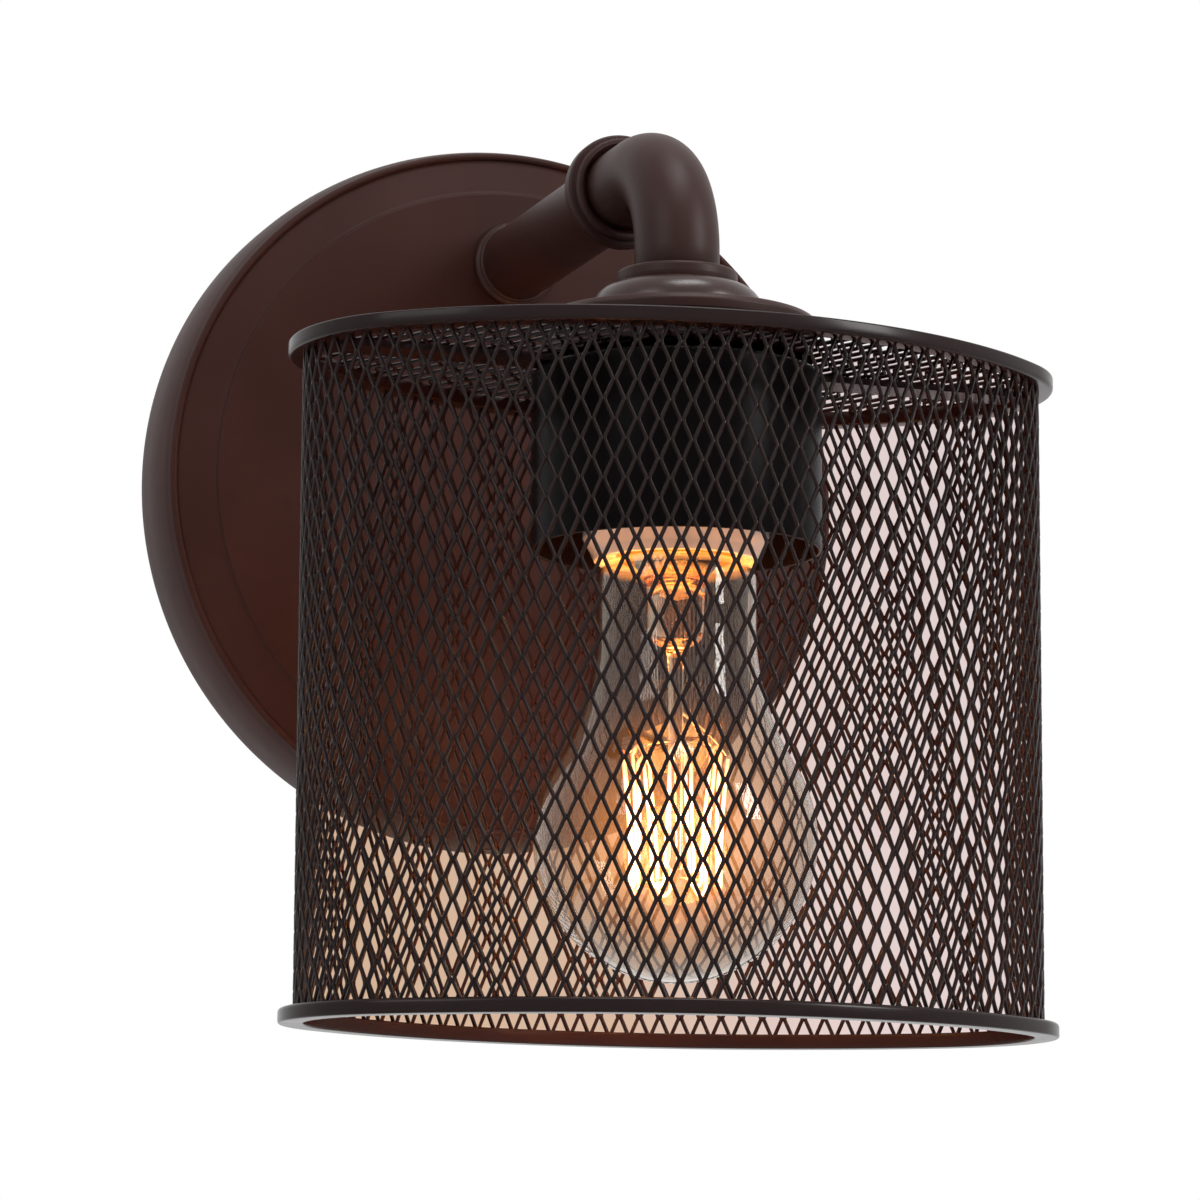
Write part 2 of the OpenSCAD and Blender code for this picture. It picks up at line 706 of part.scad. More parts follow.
// Side mesh. Every node of the net has one ridge point on its outer face and up to
// four corner points on its inner face, so the strands have a raised ridge.
module cage_mesh() {
    n = mesh_columns;
    m = mesh_half_rows;
    wide = strand_w * 0.62;
    tall = strand_w * 1.05;
    base_z = mesh_low_z + mesh_band;
    inner = mesh_in + mesh_t;
    band_levels = [mesh_low_z, base_z, base_z + m * mesh_rise, mesh_high_z];
    function at(i, j) = (i + (j % 2) / 2) * mesh_pitch;
    function z_of(j) = base_z + j * mesh_rise;
    // Points of one node: ridge, right, top, left, bottom
    points = concat(
        [for (j = [0:m], i = [0:n - 1], k = [0:4])
            let (s = at(i, j), z = z_of(j))
            k == 0 ? oval_point(s, mesh_mid, z, mesh_in) :
            k == 1 ? oval_point(s + wide, mesh_mid, z, inner) :
            k == 2 ? oval_point(s, mesh_mid, j == m ? mesh_high_z : z + tall, inner) :
            k == 3 ? oval_point(s - wide, mesh_mid, z, inner) :
            oval_point(s, mesh_mid, j == 0 ? mesh_low_z : z - tall, inner)],
        [for (z = [mesh_low_z, mesh_high_z], i = [0:n - 1])
            oval_point(at(i, 0), mesh_mid, z, mesh_in)],
        // Points of the plain bands, half way between two nodes
        [for (z = band_levels, drawn = [mesh_in, inner], i = [0:n - 1])
            oval_point(at(i, 0) + mesh_pitch / 2, mesh_mid, z, drawn)]);
    function p(i, j, k) = 5 * (j * n + (i + n) % n) + k;
    function low(i) = 5 * n * (m + 1) + (i + n) % n;
    function high(i) = 5 * n * (m + 1) + n + (i + n) % n;
    // Half-way point of a band, on its outer (0) or inner (1) face
    function half(level, face, i) = 5 * n * (m + 1) + (2 + 2 * level + face) * n + i;
    // The node above and to the right of node i of row j, and the one to the left
    function right_of(i, j) = i + j % 2;
    function left_of(i, j) = i + j % 2 - 1;
    // Two triangles for a face of four corners
    function split(q) = [[q[0], q[1], q[2]], [q[0], q[2], q[3]]];
    node_backs = [for (j = [0:m], i = [0:n - 1])
        each split([p(i, j, 1), p(i, j, 2), p(i, j, 3), p(i, j, 4)])];
    strands = [for (j = [0:m - 1], i = [0:n - 1])
        let (r = right_of(i, j), l = left_of(i, j))
        each [
            // strand up to the right: its two flanks and its back
            [p(i, j, 0), p(r, j + 1, 3), p(r, j + 1, 0)],
            [p(i, j, 0), p(i, j, 2), p(r, j + 1, 3)],
            [p(i, j, 0), p(r, j + 1, 4), p(i, j, 1)],
            [p(i, j, 0), p(r, j + 1, 0), p(r, j + 1, 4)],
            each split([p(i, j, 1), p(r, j + 1, 4), p(r, j + 1, 3), p(i, j, 2)]),
            // strand up to the left
            [p(i, j, 0), p(l, j + 1, 1), p(i, j, 2)],
            [p(i, j, 0), p(l, j + 1, 0), p(l, j + 1, 1)],
            [p(i, j, 0), p(l, j + 1, 4), p(l, j + 1, 0)],
            [p(i, j, 0), p(i, j, 3), p(l, j + 1, 4)],
            each split([p(i, j, 2), p(l, j + 1, 1), p(l, j + 1, 4), p(i, j, 3)])
        ]];
    low_band = [for (i = [0:n - 1])
        each [
            each split([p(i, 0, 0), half(1, 0, i), half(0, 0, i), low(i)]),
            each split([half(1, 0, i), p(i + 1, 0, 0), low(i + 1), half(0, 0, i)]),
            each split([low(i), half(0, 0, i), half(0, 1, i), p(i, 0, 4)]),
            each split([half(0, 0, i), low(i + 1), p(i + 1, 0, 4), half(0, 1, i)]),
            each split([p(i, 0, 4), half(0, 1, i), half(1, 1, i), p(i, 0, 1)]),
            each split([half(0, 1, i), p(i + 1, 0, 4), p(i + 1, 0, 3), half(1, 1, i)]),
            each split([p(i, 0, 0), p(i, 0, 1), half(1, 1, i), half(1, 0, i)]),
            each split([half(1, 0, i), half(1, 1, i), p(i + 1, 0, 3), p(i + 1, 0, 0)])
        ]];
    high_band = [for (i = [0:n - 1])
        each [
            each split([half(2, 0, i), p(i, m, 0), high(i), half(3, 0, i)]),
            each split([p(i + 1, m, 0), half(2, 0, i), half(3, 0, i), high(i + 1)]),
            each split([half(3, 0, i), high(i), p(i, m, 2), half(3, 1, i)]),
            each split([high(i + 1), half(3, 0, i), half(3, 1, i), p(i + 1, m, 2)]),
            each split([half(3, 1, i), p(i, m, 2), p(i, m, 1), half(2, 1, i)]),
            each split([p(i + 1, m, 2), half(3, 1, i), half(2, 1, i), p(i + 1, m, 3)]),
            each split([half(2, 0, i), half(2, 1, i), p(i, m, 1), p(i, m, 0)]),
            each split([p(i + 1, m, 0), p(i + 1, m, 3), half(2, 1, i), half(2, 0, i)])
        ]];
    color("#201c1d")
    at_cage_axis()
        polyhedron(points, concat(node_backs, strands, low_band, high_band), convexity = 10);
}

// ---- Socket ----

module socket_cup() {
    color("#141112")
    at_cage_axis()
        translate([0, 0, cup_mouth_z])
            difference() {
                cylinder(r = cup_r, h = cup_l);
                translate([0, 0, -cut]) cylinder(r = cup_r - cup_t, h = cup_l - cup_t + cut);
                cylinder(r = nipple_r + fit, h = cup_l + cut);
            }
}

// Bent strap that the stem screws into, with a foot on each side of the porcelain
module socket_bracket() {
    color("#b9b9b4")
    at_cage_axis()
        difference() {
            union() {
                translate([-bracket_half, -bracket_w / 2, bracket_z])
                    cube([2 * bracket_half, bracket_w, bracket_t]);
                for (side = [0, 1])
                    mirror([side, 0, 0]) {
                        translate([bracket_half - bracket_t, -bracket_w / 2, porcelain_top_z])
                            cube([bracket_t, bracket_w, bracket_leg + bracket_t]);
                        translate([bracket_half - foot_l, -bracket_w / 2, porcelain_top_z])
                            cube([foot_l, bracket_w, bracket_t]);
                    }
            }
            translate([0, 0, bracket_z - cut])
                cylinder(r = nipple_r + fit, h = bracket_t + 2 * cut);
            at_foot_screws()
                translate([0, 0, -cut])
                    cylinder(r = foot_screw_r + fit, h = bracket_t + 2 * cut);
        }
}

// Places something on the porcelain at each of the two foot screws
module at_foot_screws() {
    for (side = [-1, 1])
        translate([side * foot_screw_x, 0, porcelain_top_z]) children();
}

module socket_bracket_screws() {
    color("#b9b9b4")
    at_cage_axis()
        at_foot_screws() {
            translate([0, 0, -foot_screw_l])
                cylinder(r = foot_screw_r, h = foot_screw_l + bracket_t);
            translate([0, 0, bracket_t]) cylinder(r = foot_screw_r + 1, h = 1.2);
        }
}

module socket_porcelain() {
    r = porcelain_d / 2;
    neck = porcelain_neck_d / 2;
    cavity_r = shell_out_r + weld;
    height = porcelain_top_z - mouth_z;
    edge = 1.4;
    outline = concat(
        [[mouth_d / 2 + 0.5, 0]],
        arc([r - edge, edge], edge, -80, 0, 6),
        arc([r - edge, mouth_ring_h - edge], edge, 0, 90, 6),
        [[neck, mouth_ring_h], [neck, height - 1], [neck - 1, height],
         [0, height], [0, cavity_top_z - mouth_z], [cavity_r, cavity_top_z - mouth_z],
         [cavity_r, mouth_chamfer + 1.2], [mouth_d / 2 - 0.4, mouth_chamfer],
         [mouth_d / 2, 0.6]]);
    color("#efe6da")
    at_cage_axis()
        difference() {
            translate([0, 0, mouth_z]) rotate_extrude() polygon(outline);
            at_foot_screws()
                translate([0, 0, -foot_screw_l - weld])
                    cylinder(r = foot_screw_r + fit, h = foot_screw_l + weld + cut);
        }
}

module socket_screw_shell() {
    color("#c9a04a")
    at_cage_axis()
        translate([0, 0, shell_bottom_z])
            tube(shell_out_r, shell_r, cavity_top_z - shell_bottom_z - 3);
}

// Sprung centre contact at the back of the socket
module socket_contact() {
    color("#c9a04a")
    at_cage_axis()
        translate([-spring_l / 2, -spring_w / 2, cavity_top_z - spring_t])
            cube([spring_l, spring_w, spring_t]);
}

module socket_terminals() {
    color("#c9a04a")
    at_cage_axis()
        for (side = [-1, 1])
            translate([0, side * (lead_out + terminal_r + weld), porcelain_top_z]) {
                translate([0, 0, terminal_plate_h]) cylinder(r = terminal_r, h = terminal_h);
                translate([-terminal_r, -terminal_r, 0])
                    cube([2 * terminal_r, 2 * terminal_r, terminal_plate_h]);
            }
}

// ---- Leads, from the pan of the backplate through the arm to the socket ----

// side is -1 or 1: which side of the bore, and which terminal, the lead takes
module lead(side) {
    x = side * lead_pitch / 2;
    low_z = porcelain_top_z + terminal_plate_h + lead_r + 0.4 + lead_bend_r;
    pan_bend_depth = pan_lead_depth + pan_bend_r;
    arm_rod(lead_r, x, pan_bend_depth, low_z);
    translate([x, -pan_bend_depth, arm_height - pan_bend_r])
        rotate([90, 0, 90])
            rotate_extrude(angle = 90) translate([pan_bend_r, 0]) circle(r = lead_r);
    translate([x, -pan_lead_depth, pan_lead_low_z])
        cylinder(r = lead_r, h = arm_height - pan_bend_r - pan_lead_low_z);
    translate([x, -arm_reach, 0])
        mirror([0, side > 0 ? 1 : 0, 0]) {
            translate([0, -lead_bend_r, low_z])
                rotate([90, 0, 90])
                    rotate([0, 0, -90])
                        rotate_extrude(angle = 90)
                            translate([lead_bend_r, 0]) circle(r = lead_r);
            translate([0, -lead_bend_r, low_z - lead_bend_r])
                out_of_wall() cylinder(r = lead_r, h = lead_out - lead_bend_r);
        }
}

module lead_live() {
    color("#2b2a2a") lead(-1);
}

module lead_neutral() {
    color("#e8e6e0") lead(1);
}

module lead_tips() {
    color("#c08a5a")
    for (side = [-1, 1])
        translate([side * lead_pitch / 2, -pan_lead_depth, pan_lead_low_z - lead_tip_l])
            cylinder(r = lead_tip_r, h = lead_tip_l);
}

// ---- Bulb ----

// Outside of the glass from its root in the cap down to the tip, drawn in by inset
function glass_outline(inset) =
    let (r = bulb_r - inset,
         neck = neck_r - inset,
         drop = neck_end_z - globe_z,
         // radius of the fillet that is tangent to the neck and to the globe
         fillet = (drop * drop + neck * neck - r * r) / (2 * (r - neck)),
         turn = atan2(drop, neck + fillet))
    concat(
        [[glass_root_r - inset, cap_bottom_z + glass_root_l],
         [glass_root_r - inset, cap_bottom_z]],
        [for (i = [1:6])
            let (t = 90 * i / 6)
            [glass_root_r - inset + (neck_r - glass_root_r) * sin(t),
             cap_bottom_z - shoulder_l * (1 - cos(t))]],
        [for (i = [0:8])
            let (t = turn * i / 8)
            [neck + fillet - fillet * cos(t), neck_end_z - fillet * sin(t)]],
        [for (i = [1:14])
            let (t = turn + (-90 - turn) * i / 14)
            [i == 14 ? 0 : r * cos(t), globe_z + r * sin(t)]]);

module bulb_glass() {
    outer = glass_outline(0);
    inner = glass_outline(glass_t);
    last = len(inner) - 1;
    color("#e8c890", 0.35)
    at_cage_axis()
        rotate_extrude()
            polygon(concat(outer, [for (i = [last:-1:0]) inner[i]]));
}

module bulb_screw_cap() {
    color("#b08a4a")
    at_cage_axis()
        translate([0, 0, cap_bottom_z])
            difference() {
                cylinder(r = cap_r, h = cap_l);
                translate([0, 0, -cut]) cylinder(r = cap_r - cap_t, h = cap_l - cap_t + cut);
                cylinder(r = cap_hole_r, h = cap_l + cut);
            }
}

module bulb_insulator() {
    plug_r = cap_hole_r - weld;
    top_r = cap_contact_r + 1.6;
    outline = [[0, -cap_plug_h], [plug_r, -cap_plug_h], [plug_r, 0], [cap_insulator_r, 0],
               [top_r, cap_insulator_h], [0, cap_insulator_h]];
    color("#1a1a1c")
    at_cage_axis() translate([0, 0, cap_top_z]) rotate_extrude() polygon(outline);
}

module bulb_contact() {
    color("#c8c8c8")
    at_cage_axis()
        translate([0, 0, cap_top_z + cap_insulator_h])
            cylinder(r1 = cap_contact_r, r2 = cap_contact_top_r, h = cap_contact_h);
}

// Flared glass stem with the rod that carries the support wires
module bulb_stem() {
    outline = concat(
        [[glass_root_r - glass_t - weld, cap_bottom_z + 2],
         [glass_root_r - glass_t - weld, cap_bottom_z + 1],
         [stem_r + 1.5, cap_bottom_z - 1.5], [stem_r, neck_top_z]],
        arc([stem_r - 2.5, stem_end_z + 2.5], 2.5, 0, -50, 5),
        [[stem_rod_r, stem_end_z - 2], [stem_rod_r, rod_end_z + 1],
         [stem_rod_r - 0.8, rod_end_z], [0, rod_end_z], [0, cap_bottom_z + 2]]);
    color("#f0e0c0", 0.5)
    at_cage_axis() rotate_extrude() polygon(outline);
}

// Place of joint i of the filament: even joints are at the top, odd ones at the foot
function filament_angle(i) = 360 * (i + 0.5) / (filament_runs + 1);
function filament_joint(i) =
    let (a = filament_angle(i), top = i % 2 == 0, r = top ? filament_r : filament_r - 1.5)
    [r * cos(a), r * sin(a), top ? filament_high_z : filament_low_z];

// A straight round wire between two points
module wire(from, to, r) {
    d = to - from;
    length = norm(d);
    translate(from)
        rotate([0, acos(d[2] / length), atan2(d[1], d[0])])
            cylinder(r = r, h = length, $fn = 16);
}

module bulb_filament() {
    color("#ffb347")
    at_cage_axis() {
        for (i = [0:filament_runs - 1])
            wire(filament_joint(i), filament_joint(i + 1), filament_wire_r);
        for (i = [0:filament_runs])
            translate(filament_joint(i)) sphere(r = filament_joint_r, $fn = 24);
    }
}

// Hooks from the rod to the joints of the filament, and the two lead-in wires
module bulb_support_wires() {
    hook_gap = filament_joint_r + support_wire_r + fit;
    hook_rise = 2.5;      // how far a hook climbs from the filament to the rod
    lead_in_rise = 9;     // the same for the two wires that feed the filament
    color("#8f8a84")
    at_cage_axis()
        for (i = [0:filament_runs]) {
            joint = filament_joint(i);
            a = filament_angle(i);
            rise = i == 0 || i == filament_runs ? lead_in_rise : hook_rise;
            root = [(stem_rod_r + fit) * cos(a), (stem_rod_r + fit) * sin(a), joint[2] + rise];
            end = joint - hook_gap * [cos(a), sin(a), -0.4];
            wire(root, end, support_wire_r);
        }
}

backplate();
crossbar();
backplate_screws();
ground_screw();
arm_flange();
arm_tube();
arm_nipple();
arm_lock_washer();
arm_lock_nut();
arm_coupling();
arm_collar();
arm_elbow();
holder_ring();
holder_dome();
fitter_cap();
stem_nipple();
stem_lock_nut();
cage_mesh();
cage_top_mesh();
cage_strap();
cage_top_rim();
cage_bottom_rim();
socket_cup();
socket_bracket();
socket_bracket_screws();
socket_porcelain();
socket_screw_shell();
socket_contact();
socket_terminals();
lead_live();
lead_neutral();
lead_tips();
bulb_glass();
bulb_screw_cap();
bulb_insulator();
bulb_contact();
bulb_stem();
bulb_support_wires();
bulb_filament();
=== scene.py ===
"""Looks of a cage wall light: backplate, pipe arm, oval expanded-metal cage, socket and lit bulb.

Metres, +Z up, the wall is the plane Y = 0 and the light reaches along -Y. Sizes of the object are
in millimetres below and are scaled when a mesh is made. Camera, stage and lights are in metres.
"""

import json
import math

import bmesh
import bpy
from mathutils import Matrix, Vector
from mathutils.geometry import convex_hull_2d


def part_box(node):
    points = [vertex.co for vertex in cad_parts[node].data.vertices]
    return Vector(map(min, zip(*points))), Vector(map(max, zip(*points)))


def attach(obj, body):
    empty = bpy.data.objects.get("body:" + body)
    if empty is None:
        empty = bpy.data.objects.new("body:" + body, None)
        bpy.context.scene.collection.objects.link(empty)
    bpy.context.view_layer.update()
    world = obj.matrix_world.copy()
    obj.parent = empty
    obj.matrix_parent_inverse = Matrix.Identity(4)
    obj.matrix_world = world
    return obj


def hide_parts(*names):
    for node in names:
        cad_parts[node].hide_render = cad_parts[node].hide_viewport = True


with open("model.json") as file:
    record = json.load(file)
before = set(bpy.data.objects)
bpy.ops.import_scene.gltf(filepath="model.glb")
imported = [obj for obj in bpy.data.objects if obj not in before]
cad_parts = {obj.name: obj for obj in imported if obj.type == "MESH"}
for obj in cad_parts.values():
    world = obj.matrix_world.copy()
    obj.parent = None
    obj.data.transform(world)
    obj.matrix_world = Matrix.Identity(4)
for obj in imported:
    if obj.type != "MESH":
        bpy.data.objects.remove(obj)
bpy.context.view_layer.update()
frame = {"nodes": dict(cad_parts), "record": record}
NODES = frame["nodes"]

MM = 0.001


# ---- places read from the frame, in millimetres ----

def span(node, axis):
    """Lowest and highest coordinate of a CAD node along an axis, in millimetres."""
    low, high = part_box(node)
    return low[axis] / MM, high[axis] / MM


cage_left, cage_right = span("cage_top_rim", 0)
cage_far, cage_near = span("cage_top_rim", 1)
cage_top = span("cage_top_rim", 2)[1]
cage_bottom = span("cage_bottom_rim", 2)[0]
cage_l = cage_right - cage_left
cage_w = cage_near - cage_far
axis_y = (cage_near + cage_far) / 2
arm_z = sum(span("arm_tube", 2)) / 2
plate_r = span("backplate", 0)[1]
plate_depth = -span("backplate", 1)[0]
joint_depth = -span("arm_tube", 1)[0]
tube_r = span("arm_tube", 0)[1]
elbow_r = span("arm_elbow", 0)[1]
elbow_foot = span("arm_elbow", 2)[0]
ring_low, ring_high = span("holder_ring", 2)
dome_low, dome_high = span("holder_dome", 2)
cap_low, cap_high = span("fitter_cap", 2)
cup_low, cup_high = span("socket_cup", 2)
mouth_low, porcelain_top = span("socket_porcelain", 2)
glass_low, glass_high = span("bulb_glass", 2)
filament_low, filament_high = span("bulb_filament", 2)
bulb_cap_low, bulb_cap_high = span("bulb_screw_cap", 2)
BULB_D = 2 * span("bulb_glass", 0)[1]


# ---- mesh helpers ----

def on_cage(p):
    """From the cage's own axes (x, y, z in mm) to the object's frame in metres."""
    return (p[0] * MM, (p[1] + axis_y) * MM, p[2] * MM)


def off_wall(p):
    """From the arm's own axes (x, up, depth from the wall in mm) to the object's frame."""
    return (p[0] * MM, -p[2] * MM, (p[1] + arm_z) * MM)


def off_plate(p):
    """From the backplate's own axes (x, up, depth from the wall in mm) to the object's frame."""
    return (p[0] * MM, -p[2] * MM, p[1] * MM)


def piece(name, verts, faces, body, slot, mat, replaced=(), sharp=38):
    """A finished mesh piece that rides a body and stands for CAD nodes.

    Edges that turn by more than sharp degrees stay hard.
    """
    mesh = bpy.data.meshes.new(name)
    mesh.from_pydata(verts, [], faces)
    work = bmesh.new()
    work.from_mesh(mesh)
    bmesh.ops.recalc_face_normals(work, faces=work.faces)
    work.to_mesh(mesh)
    work.free()
    for polygon in mesh.polygons:
        polygon.use_smooth = True
    mesh.set_sharp_from_angle(angle=math.radians(sharp))
    mesh.materials.append(mat)
    obj = bpy.data.objects.new(name, mesh)
    bpy.context.scene.collection.objects.link(obj)
    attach(obj, body)
    if replaced:
        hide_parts(*replaced)


FILLET_STEPS = 5        # straight pieces of a rounded corner


def fillet(points):
    """Rounds a closed profile. Each point is (r, z) or (r, z, radius)."""
    count = len(points)
    out = []
    for i, point in enumerate(points):
        here = Vector(point[:2])
        radius = point[2] if len(point) > 2 else 0
        if not radius:
            out.append(tuple(here))
            continue
        before = Vector(points[i - 1][:2]) - here
        after = Vector(points[(i + 1) % count][:2]) - here
        angle = before.angle(after)
        back = radius / math.tan(angle / 2)
        back = min(back, before.length * 0.49, after.length * 0.49)
        radius = back * math.tan(angle / 2)
        start = here + before.normalized() * back
        end = here + after.normalized() * back
        middle = (before.normalized() + after.normalized()).normalized()
        centre = here + middle * (radius / math.sin(angle / 2))
        a, b = start - centre, end - centre
        turn = a.angle_signed(b) if a.length and b.length else 0
        for k in range(FILLET_STEPS + 1):
            t = -turn * k / FILLET_STEPS
            out.append((centre.x + a.x * math.cos(t) - a.y * math.sin(t),
                        centre.y + a.x * math.sin(t) + a.y * math.cos(t)))
    return out


def arc(cx, cz, r, start, end, steps):
    """Points of an arc, from one angle to another in degrees."""
    return [(cx + r * math.cos(math.radians(start + (end - start) * i / steps)),
             cz + r * math.sin(math.radians(start + (end - start) * i / steps)))
            for i in range(steps + 1)]


def lathe(profile, segments, place):
    """Turns a closed profile of (radius, height) round its axis."""
    verts, rings = [], []
    for r, z in profile:
        if abs(r) < 1e-6:
            rings.append([len(verts)] * segments)
            verts.append(place((0, 0, z)))
            continue
        rings.append(list(range(len(verts), len(verts) + segments)))
        for i in range(segments):
            a = 2 * math.pi * i / segments
            verts.append(place((r * math.cos(a), r * math.sin(a), z)))
    faces = []
    for j in range(len(rings)):
        one, two = rings[j], rings[(j + 1) % len(rings)]
        for i in range(segments):
            k = (i + 1) % segments
            corners = []
            for v in (one[i], one[k], two[k], two[i]):
                if v not in corners:
                    corners.append(v)
            if len(corners) > 2:
                faces.append(corners)
    return verts, faces


def frames_along(points):
    """Steady side and up directions at each point of an open path."""
    last = len(points) - 1
    tangents = [(points[min(i + 1, last)] - points[max(i - 1, 0)]).normalized()
                for i in range(last + 1)]
    side = tangents[0].orthogonal().normalized()
    out = []
    for t in tangents:
        side = (side - t * side.dot(t)).normalized()
        out.append((side, t.cross(side)))
    return out


def rod_faces(rings, sides):
    """Faces of a rod made of rings of points, closed at both ends."""
    faces = []
    for i in range(rings - 1):
        for k in range(sides):
            n = (k + 1) % sides
            faces.append((i * sides + k, i * sides + n, (i + 1) * sides + n, (i + 1) * sides + k))
    faces.append(tuple(range(sides))[::-1])
    faces.append(tuple(range((rings - 1) * sides, rings * sides)))
    return faces


def tube(points, radius, sides, place):
    """A round rod along points. The radius is one number, or a list with one for each point."""
    points = [Vector(p) for p in points]
    radii = radius if isinstance(radius, list) else [radius] * len(points)
    verts = []
    for p, r, (u, v) in zip(points, radii, frames_along(points)):
        for k in range(sides):
            a = 2 * math.pi * k / sides
            verts.append(place(p + u * (r * math.cos(a)) + v * (r * math.sin(a))))
    return verts, rod_faces(len(points), sides)


def merge(parts):
    """Several (verts, faces) lists as one."""
    verts, faces = [], []
    for v, f in parts:
        base = len(verts)
        verts.extend(v)
        faces.extend([tuple(i + base for i in face) for face in f])
    return verts, faces


# ---- the oval of the cage: four arcs ----

END_R = 36.0
end_centre = cage_l / 2 - END_R
half_gap = cage_w / 2 - END_R
side_centre = (end_centre ** 2 - half_gap ** 2) / (2 * half_gap)
side_r = cage_w / 2 + side_centre
arc_turn = math.atan2(side_centre, end_centre)


def oval_lengths(inset):
    """Length of half an end arc and of half a side arc of the oval, drawn in by inset."""
    return (END_R - inset) * arc_turn, (side_r - inset) * (math.pi / 2 - arc_turn)


def oval_length(inset):
    """Length of the whole oval drawn in by inset."""
    return 4 * sum(oval_lengths(inset))


def oval_at(s, inset):
    """Place and outward direction at a distance s round the oval drawn in by inset."""
    end, side = oval_lengths(inset)
    s = s % (4 * (end + side))
    quarter = end + side
    if s < end:
        centre, angle, r = (end_centre, 0), s / end * arc_turn, END_R
    elif s < end + 2 * side:
        angle = arc_turn + (s - end) / side * (math.pi / 2 - arc_turn)
        centre, r = (0, -side_centre), side_r
    elif s < 3 * end + 2 * side:
        angle = math.pi - arc_turn + (s - end - 2 * side) / end * arc_turn
        centre, r = (-end_centre, 0), END_R
    elif s < 3 * end + 4 * side:
        angle = math.pi + arc_turn + (s - 3 * end - 2 * side) / side * (math.pi / 2 - arc_turn)
        centre, r = (0, side_centre), side_r
    else:
        centre, angle, r = (end_centre, 0), (s - 4 * quarter) / end * arc_turn, END_R
    out = Vector((math.cos(angle), math.sin(angle)))
    return Vector(centre) + out * (r - inset), out


def oval_sweep(section, steps, place):
    """Carries a closed section round the oval. Its x runs inwards from the outside."""
    verts, faces = [], []
    whole = oval_length(0)
    n = len(section)
    for i in range(steps):
        p, out = oval_at(whole * i / steps, 0)
        for x, z in section:
            verts.append(place((p.x - out.x * x, p.y - out.y * x, z)))
    for i in range(steps):
        j = (i + 1) % steps
        for k in range(n):
            m = (k + 1) % n
            faces.append((i * n + k, j * n + k, j * n + m, i * n + m))
    return verts, faces


# ---- shader nodes: these helpers take and give sockets ----

def feed(tree, node, values):
    """Sets a node's inputs by name or number: a socket is linked, anything else is a value."""
    for key, value in values.items():
        if isinstance(value, bpy.types.NodeSocket):
            tree.links.new(value, node.inputs[key])
        else:
            node.inputs[key].default_value = value


def add(tree, kind, values, output, **settings):
    """Adds a node, sets it up and gives one of its outputs."""
    node = tree.nodes.new(kind)
    for key, value in settings.items():
        setattr(node, key, value)
    feed(tree, node, values)
    return node.outputs[output]


def new_material(name):
    """A material, its node tree and its surface shader."""
    mat = bpy.data.materials.new(name)
    mat.use_nodes = True
    tree = mat.node_tree
    return mat, tree, tree.nodes["Principled BSDF"]


def own_place(tree):
    """A point's place in the object's own coordinates, in metres."""
    return add(tree, "ShaderNodeTexCoord", {}, "Object")


def noise(tree, scale, detail=4.0, rough=0.5, place=None):
    """Noise on the object's own coordinates. Scale is in waves per metre."""
    return add(tree, "ShaderNodeTexNoise", {
        "Vector": own_place(tree) if place is None else place,
        "Scale": scale, "Detail": detail, "Roughness": rough,
    }, "Fac")


def ramp(tree, value, stops):
    """A colour ramp over a value. Stops are (place, colour)."""
    node = tree.nodes.new("ShaderNodeValToRGB")
    feed(tree, node, {"Fac": value})
    band = node.color_ramp
    while len(band.elements) < len(stops):
        band.elements.new(0.5)
    for element, (at, colour) in zip(band.elements, stops):
        element.position = at
        element.color = (*colour, 1)
    return node.outputs["Color"]


def spread(tree, value, low, high, start=0.0, end=1.0):
    """Maps a value between start and end to the range from low to high."""
    return add(tree, "ShaderNodeMapRange", {
        "Value": value, "From Min": start, "From Max": end, "To Min": low, "To Max": high,
    }, "Result")


def maths(tree, operation, *values):
    """One sum on sockets and numbers."""
    return add(tree, "ShaderNodeMath", dict(enumerate(values)), "Value", operation=operation)


def own_axis(tree, axis):
    """A point's place along one axis of the object's own coordinates, in metres."""
    return add(tree, "ShaderNodeSeparateXYZ", {"Vector": own_place(tree)}, axis)


def by_height(tree, start, end, low=0.0, high=1.0):
    """Maps heights between start and end, in millimetres, to the range from low to high."""
    return spread(tree, own_axis(tree, "Z"), low, high, start * MM, end * MM)


def bump(tree, height, bsdf, strength, distance):
    """Relief on the surface from a height. The distance is in metres."""
    normal = add(tree, "ShaderNodeBump", {
        "Height": height, "Strength": strength, "Distance": distance,
    }, "Normal")
    feed(tree, bsdf, {"Normal": normal})


def choose(tree, mask, first, second):
    """The first shader where the mask is 0, the second where it is 1."""
    return add(tree, "ShaderNodeMixShader", {0: mask, 1: first, 2: second}, "Shader")


def end_material(tree, shader):
    """Gives the material its surface."""
    feed(tree, tree.nodes["Material Output"], {"Surface": shader})


# ---- materials of the light ----

def paint(name, dark, light, rough, gloss=0.5, coat=0.0, grain=900.0, grain_depth=0.00004):
    """Sprayed paint: soft tone changes, a fine orange peel and uneven gloss."""
    mat, tree, bsdf = new_material(name)
    feed(tree, bsdf, {
        "Base Color": ramp(tree, noise(tree, 28.0, 3.0), [(0.3, dark), (0.7, light)]),
        "Roughness": spread(tree, noise(tree, 160.0, 5.0, 0.6), *rough),
        "Specular IOR Level": gloss,
        "Coat Weight": coat,
        "Coat Roughness": 0.12,
    })
    bump(tree, noise(tree, grain, 3.0), bsdf, 0.35, grain_depth)
    return mat


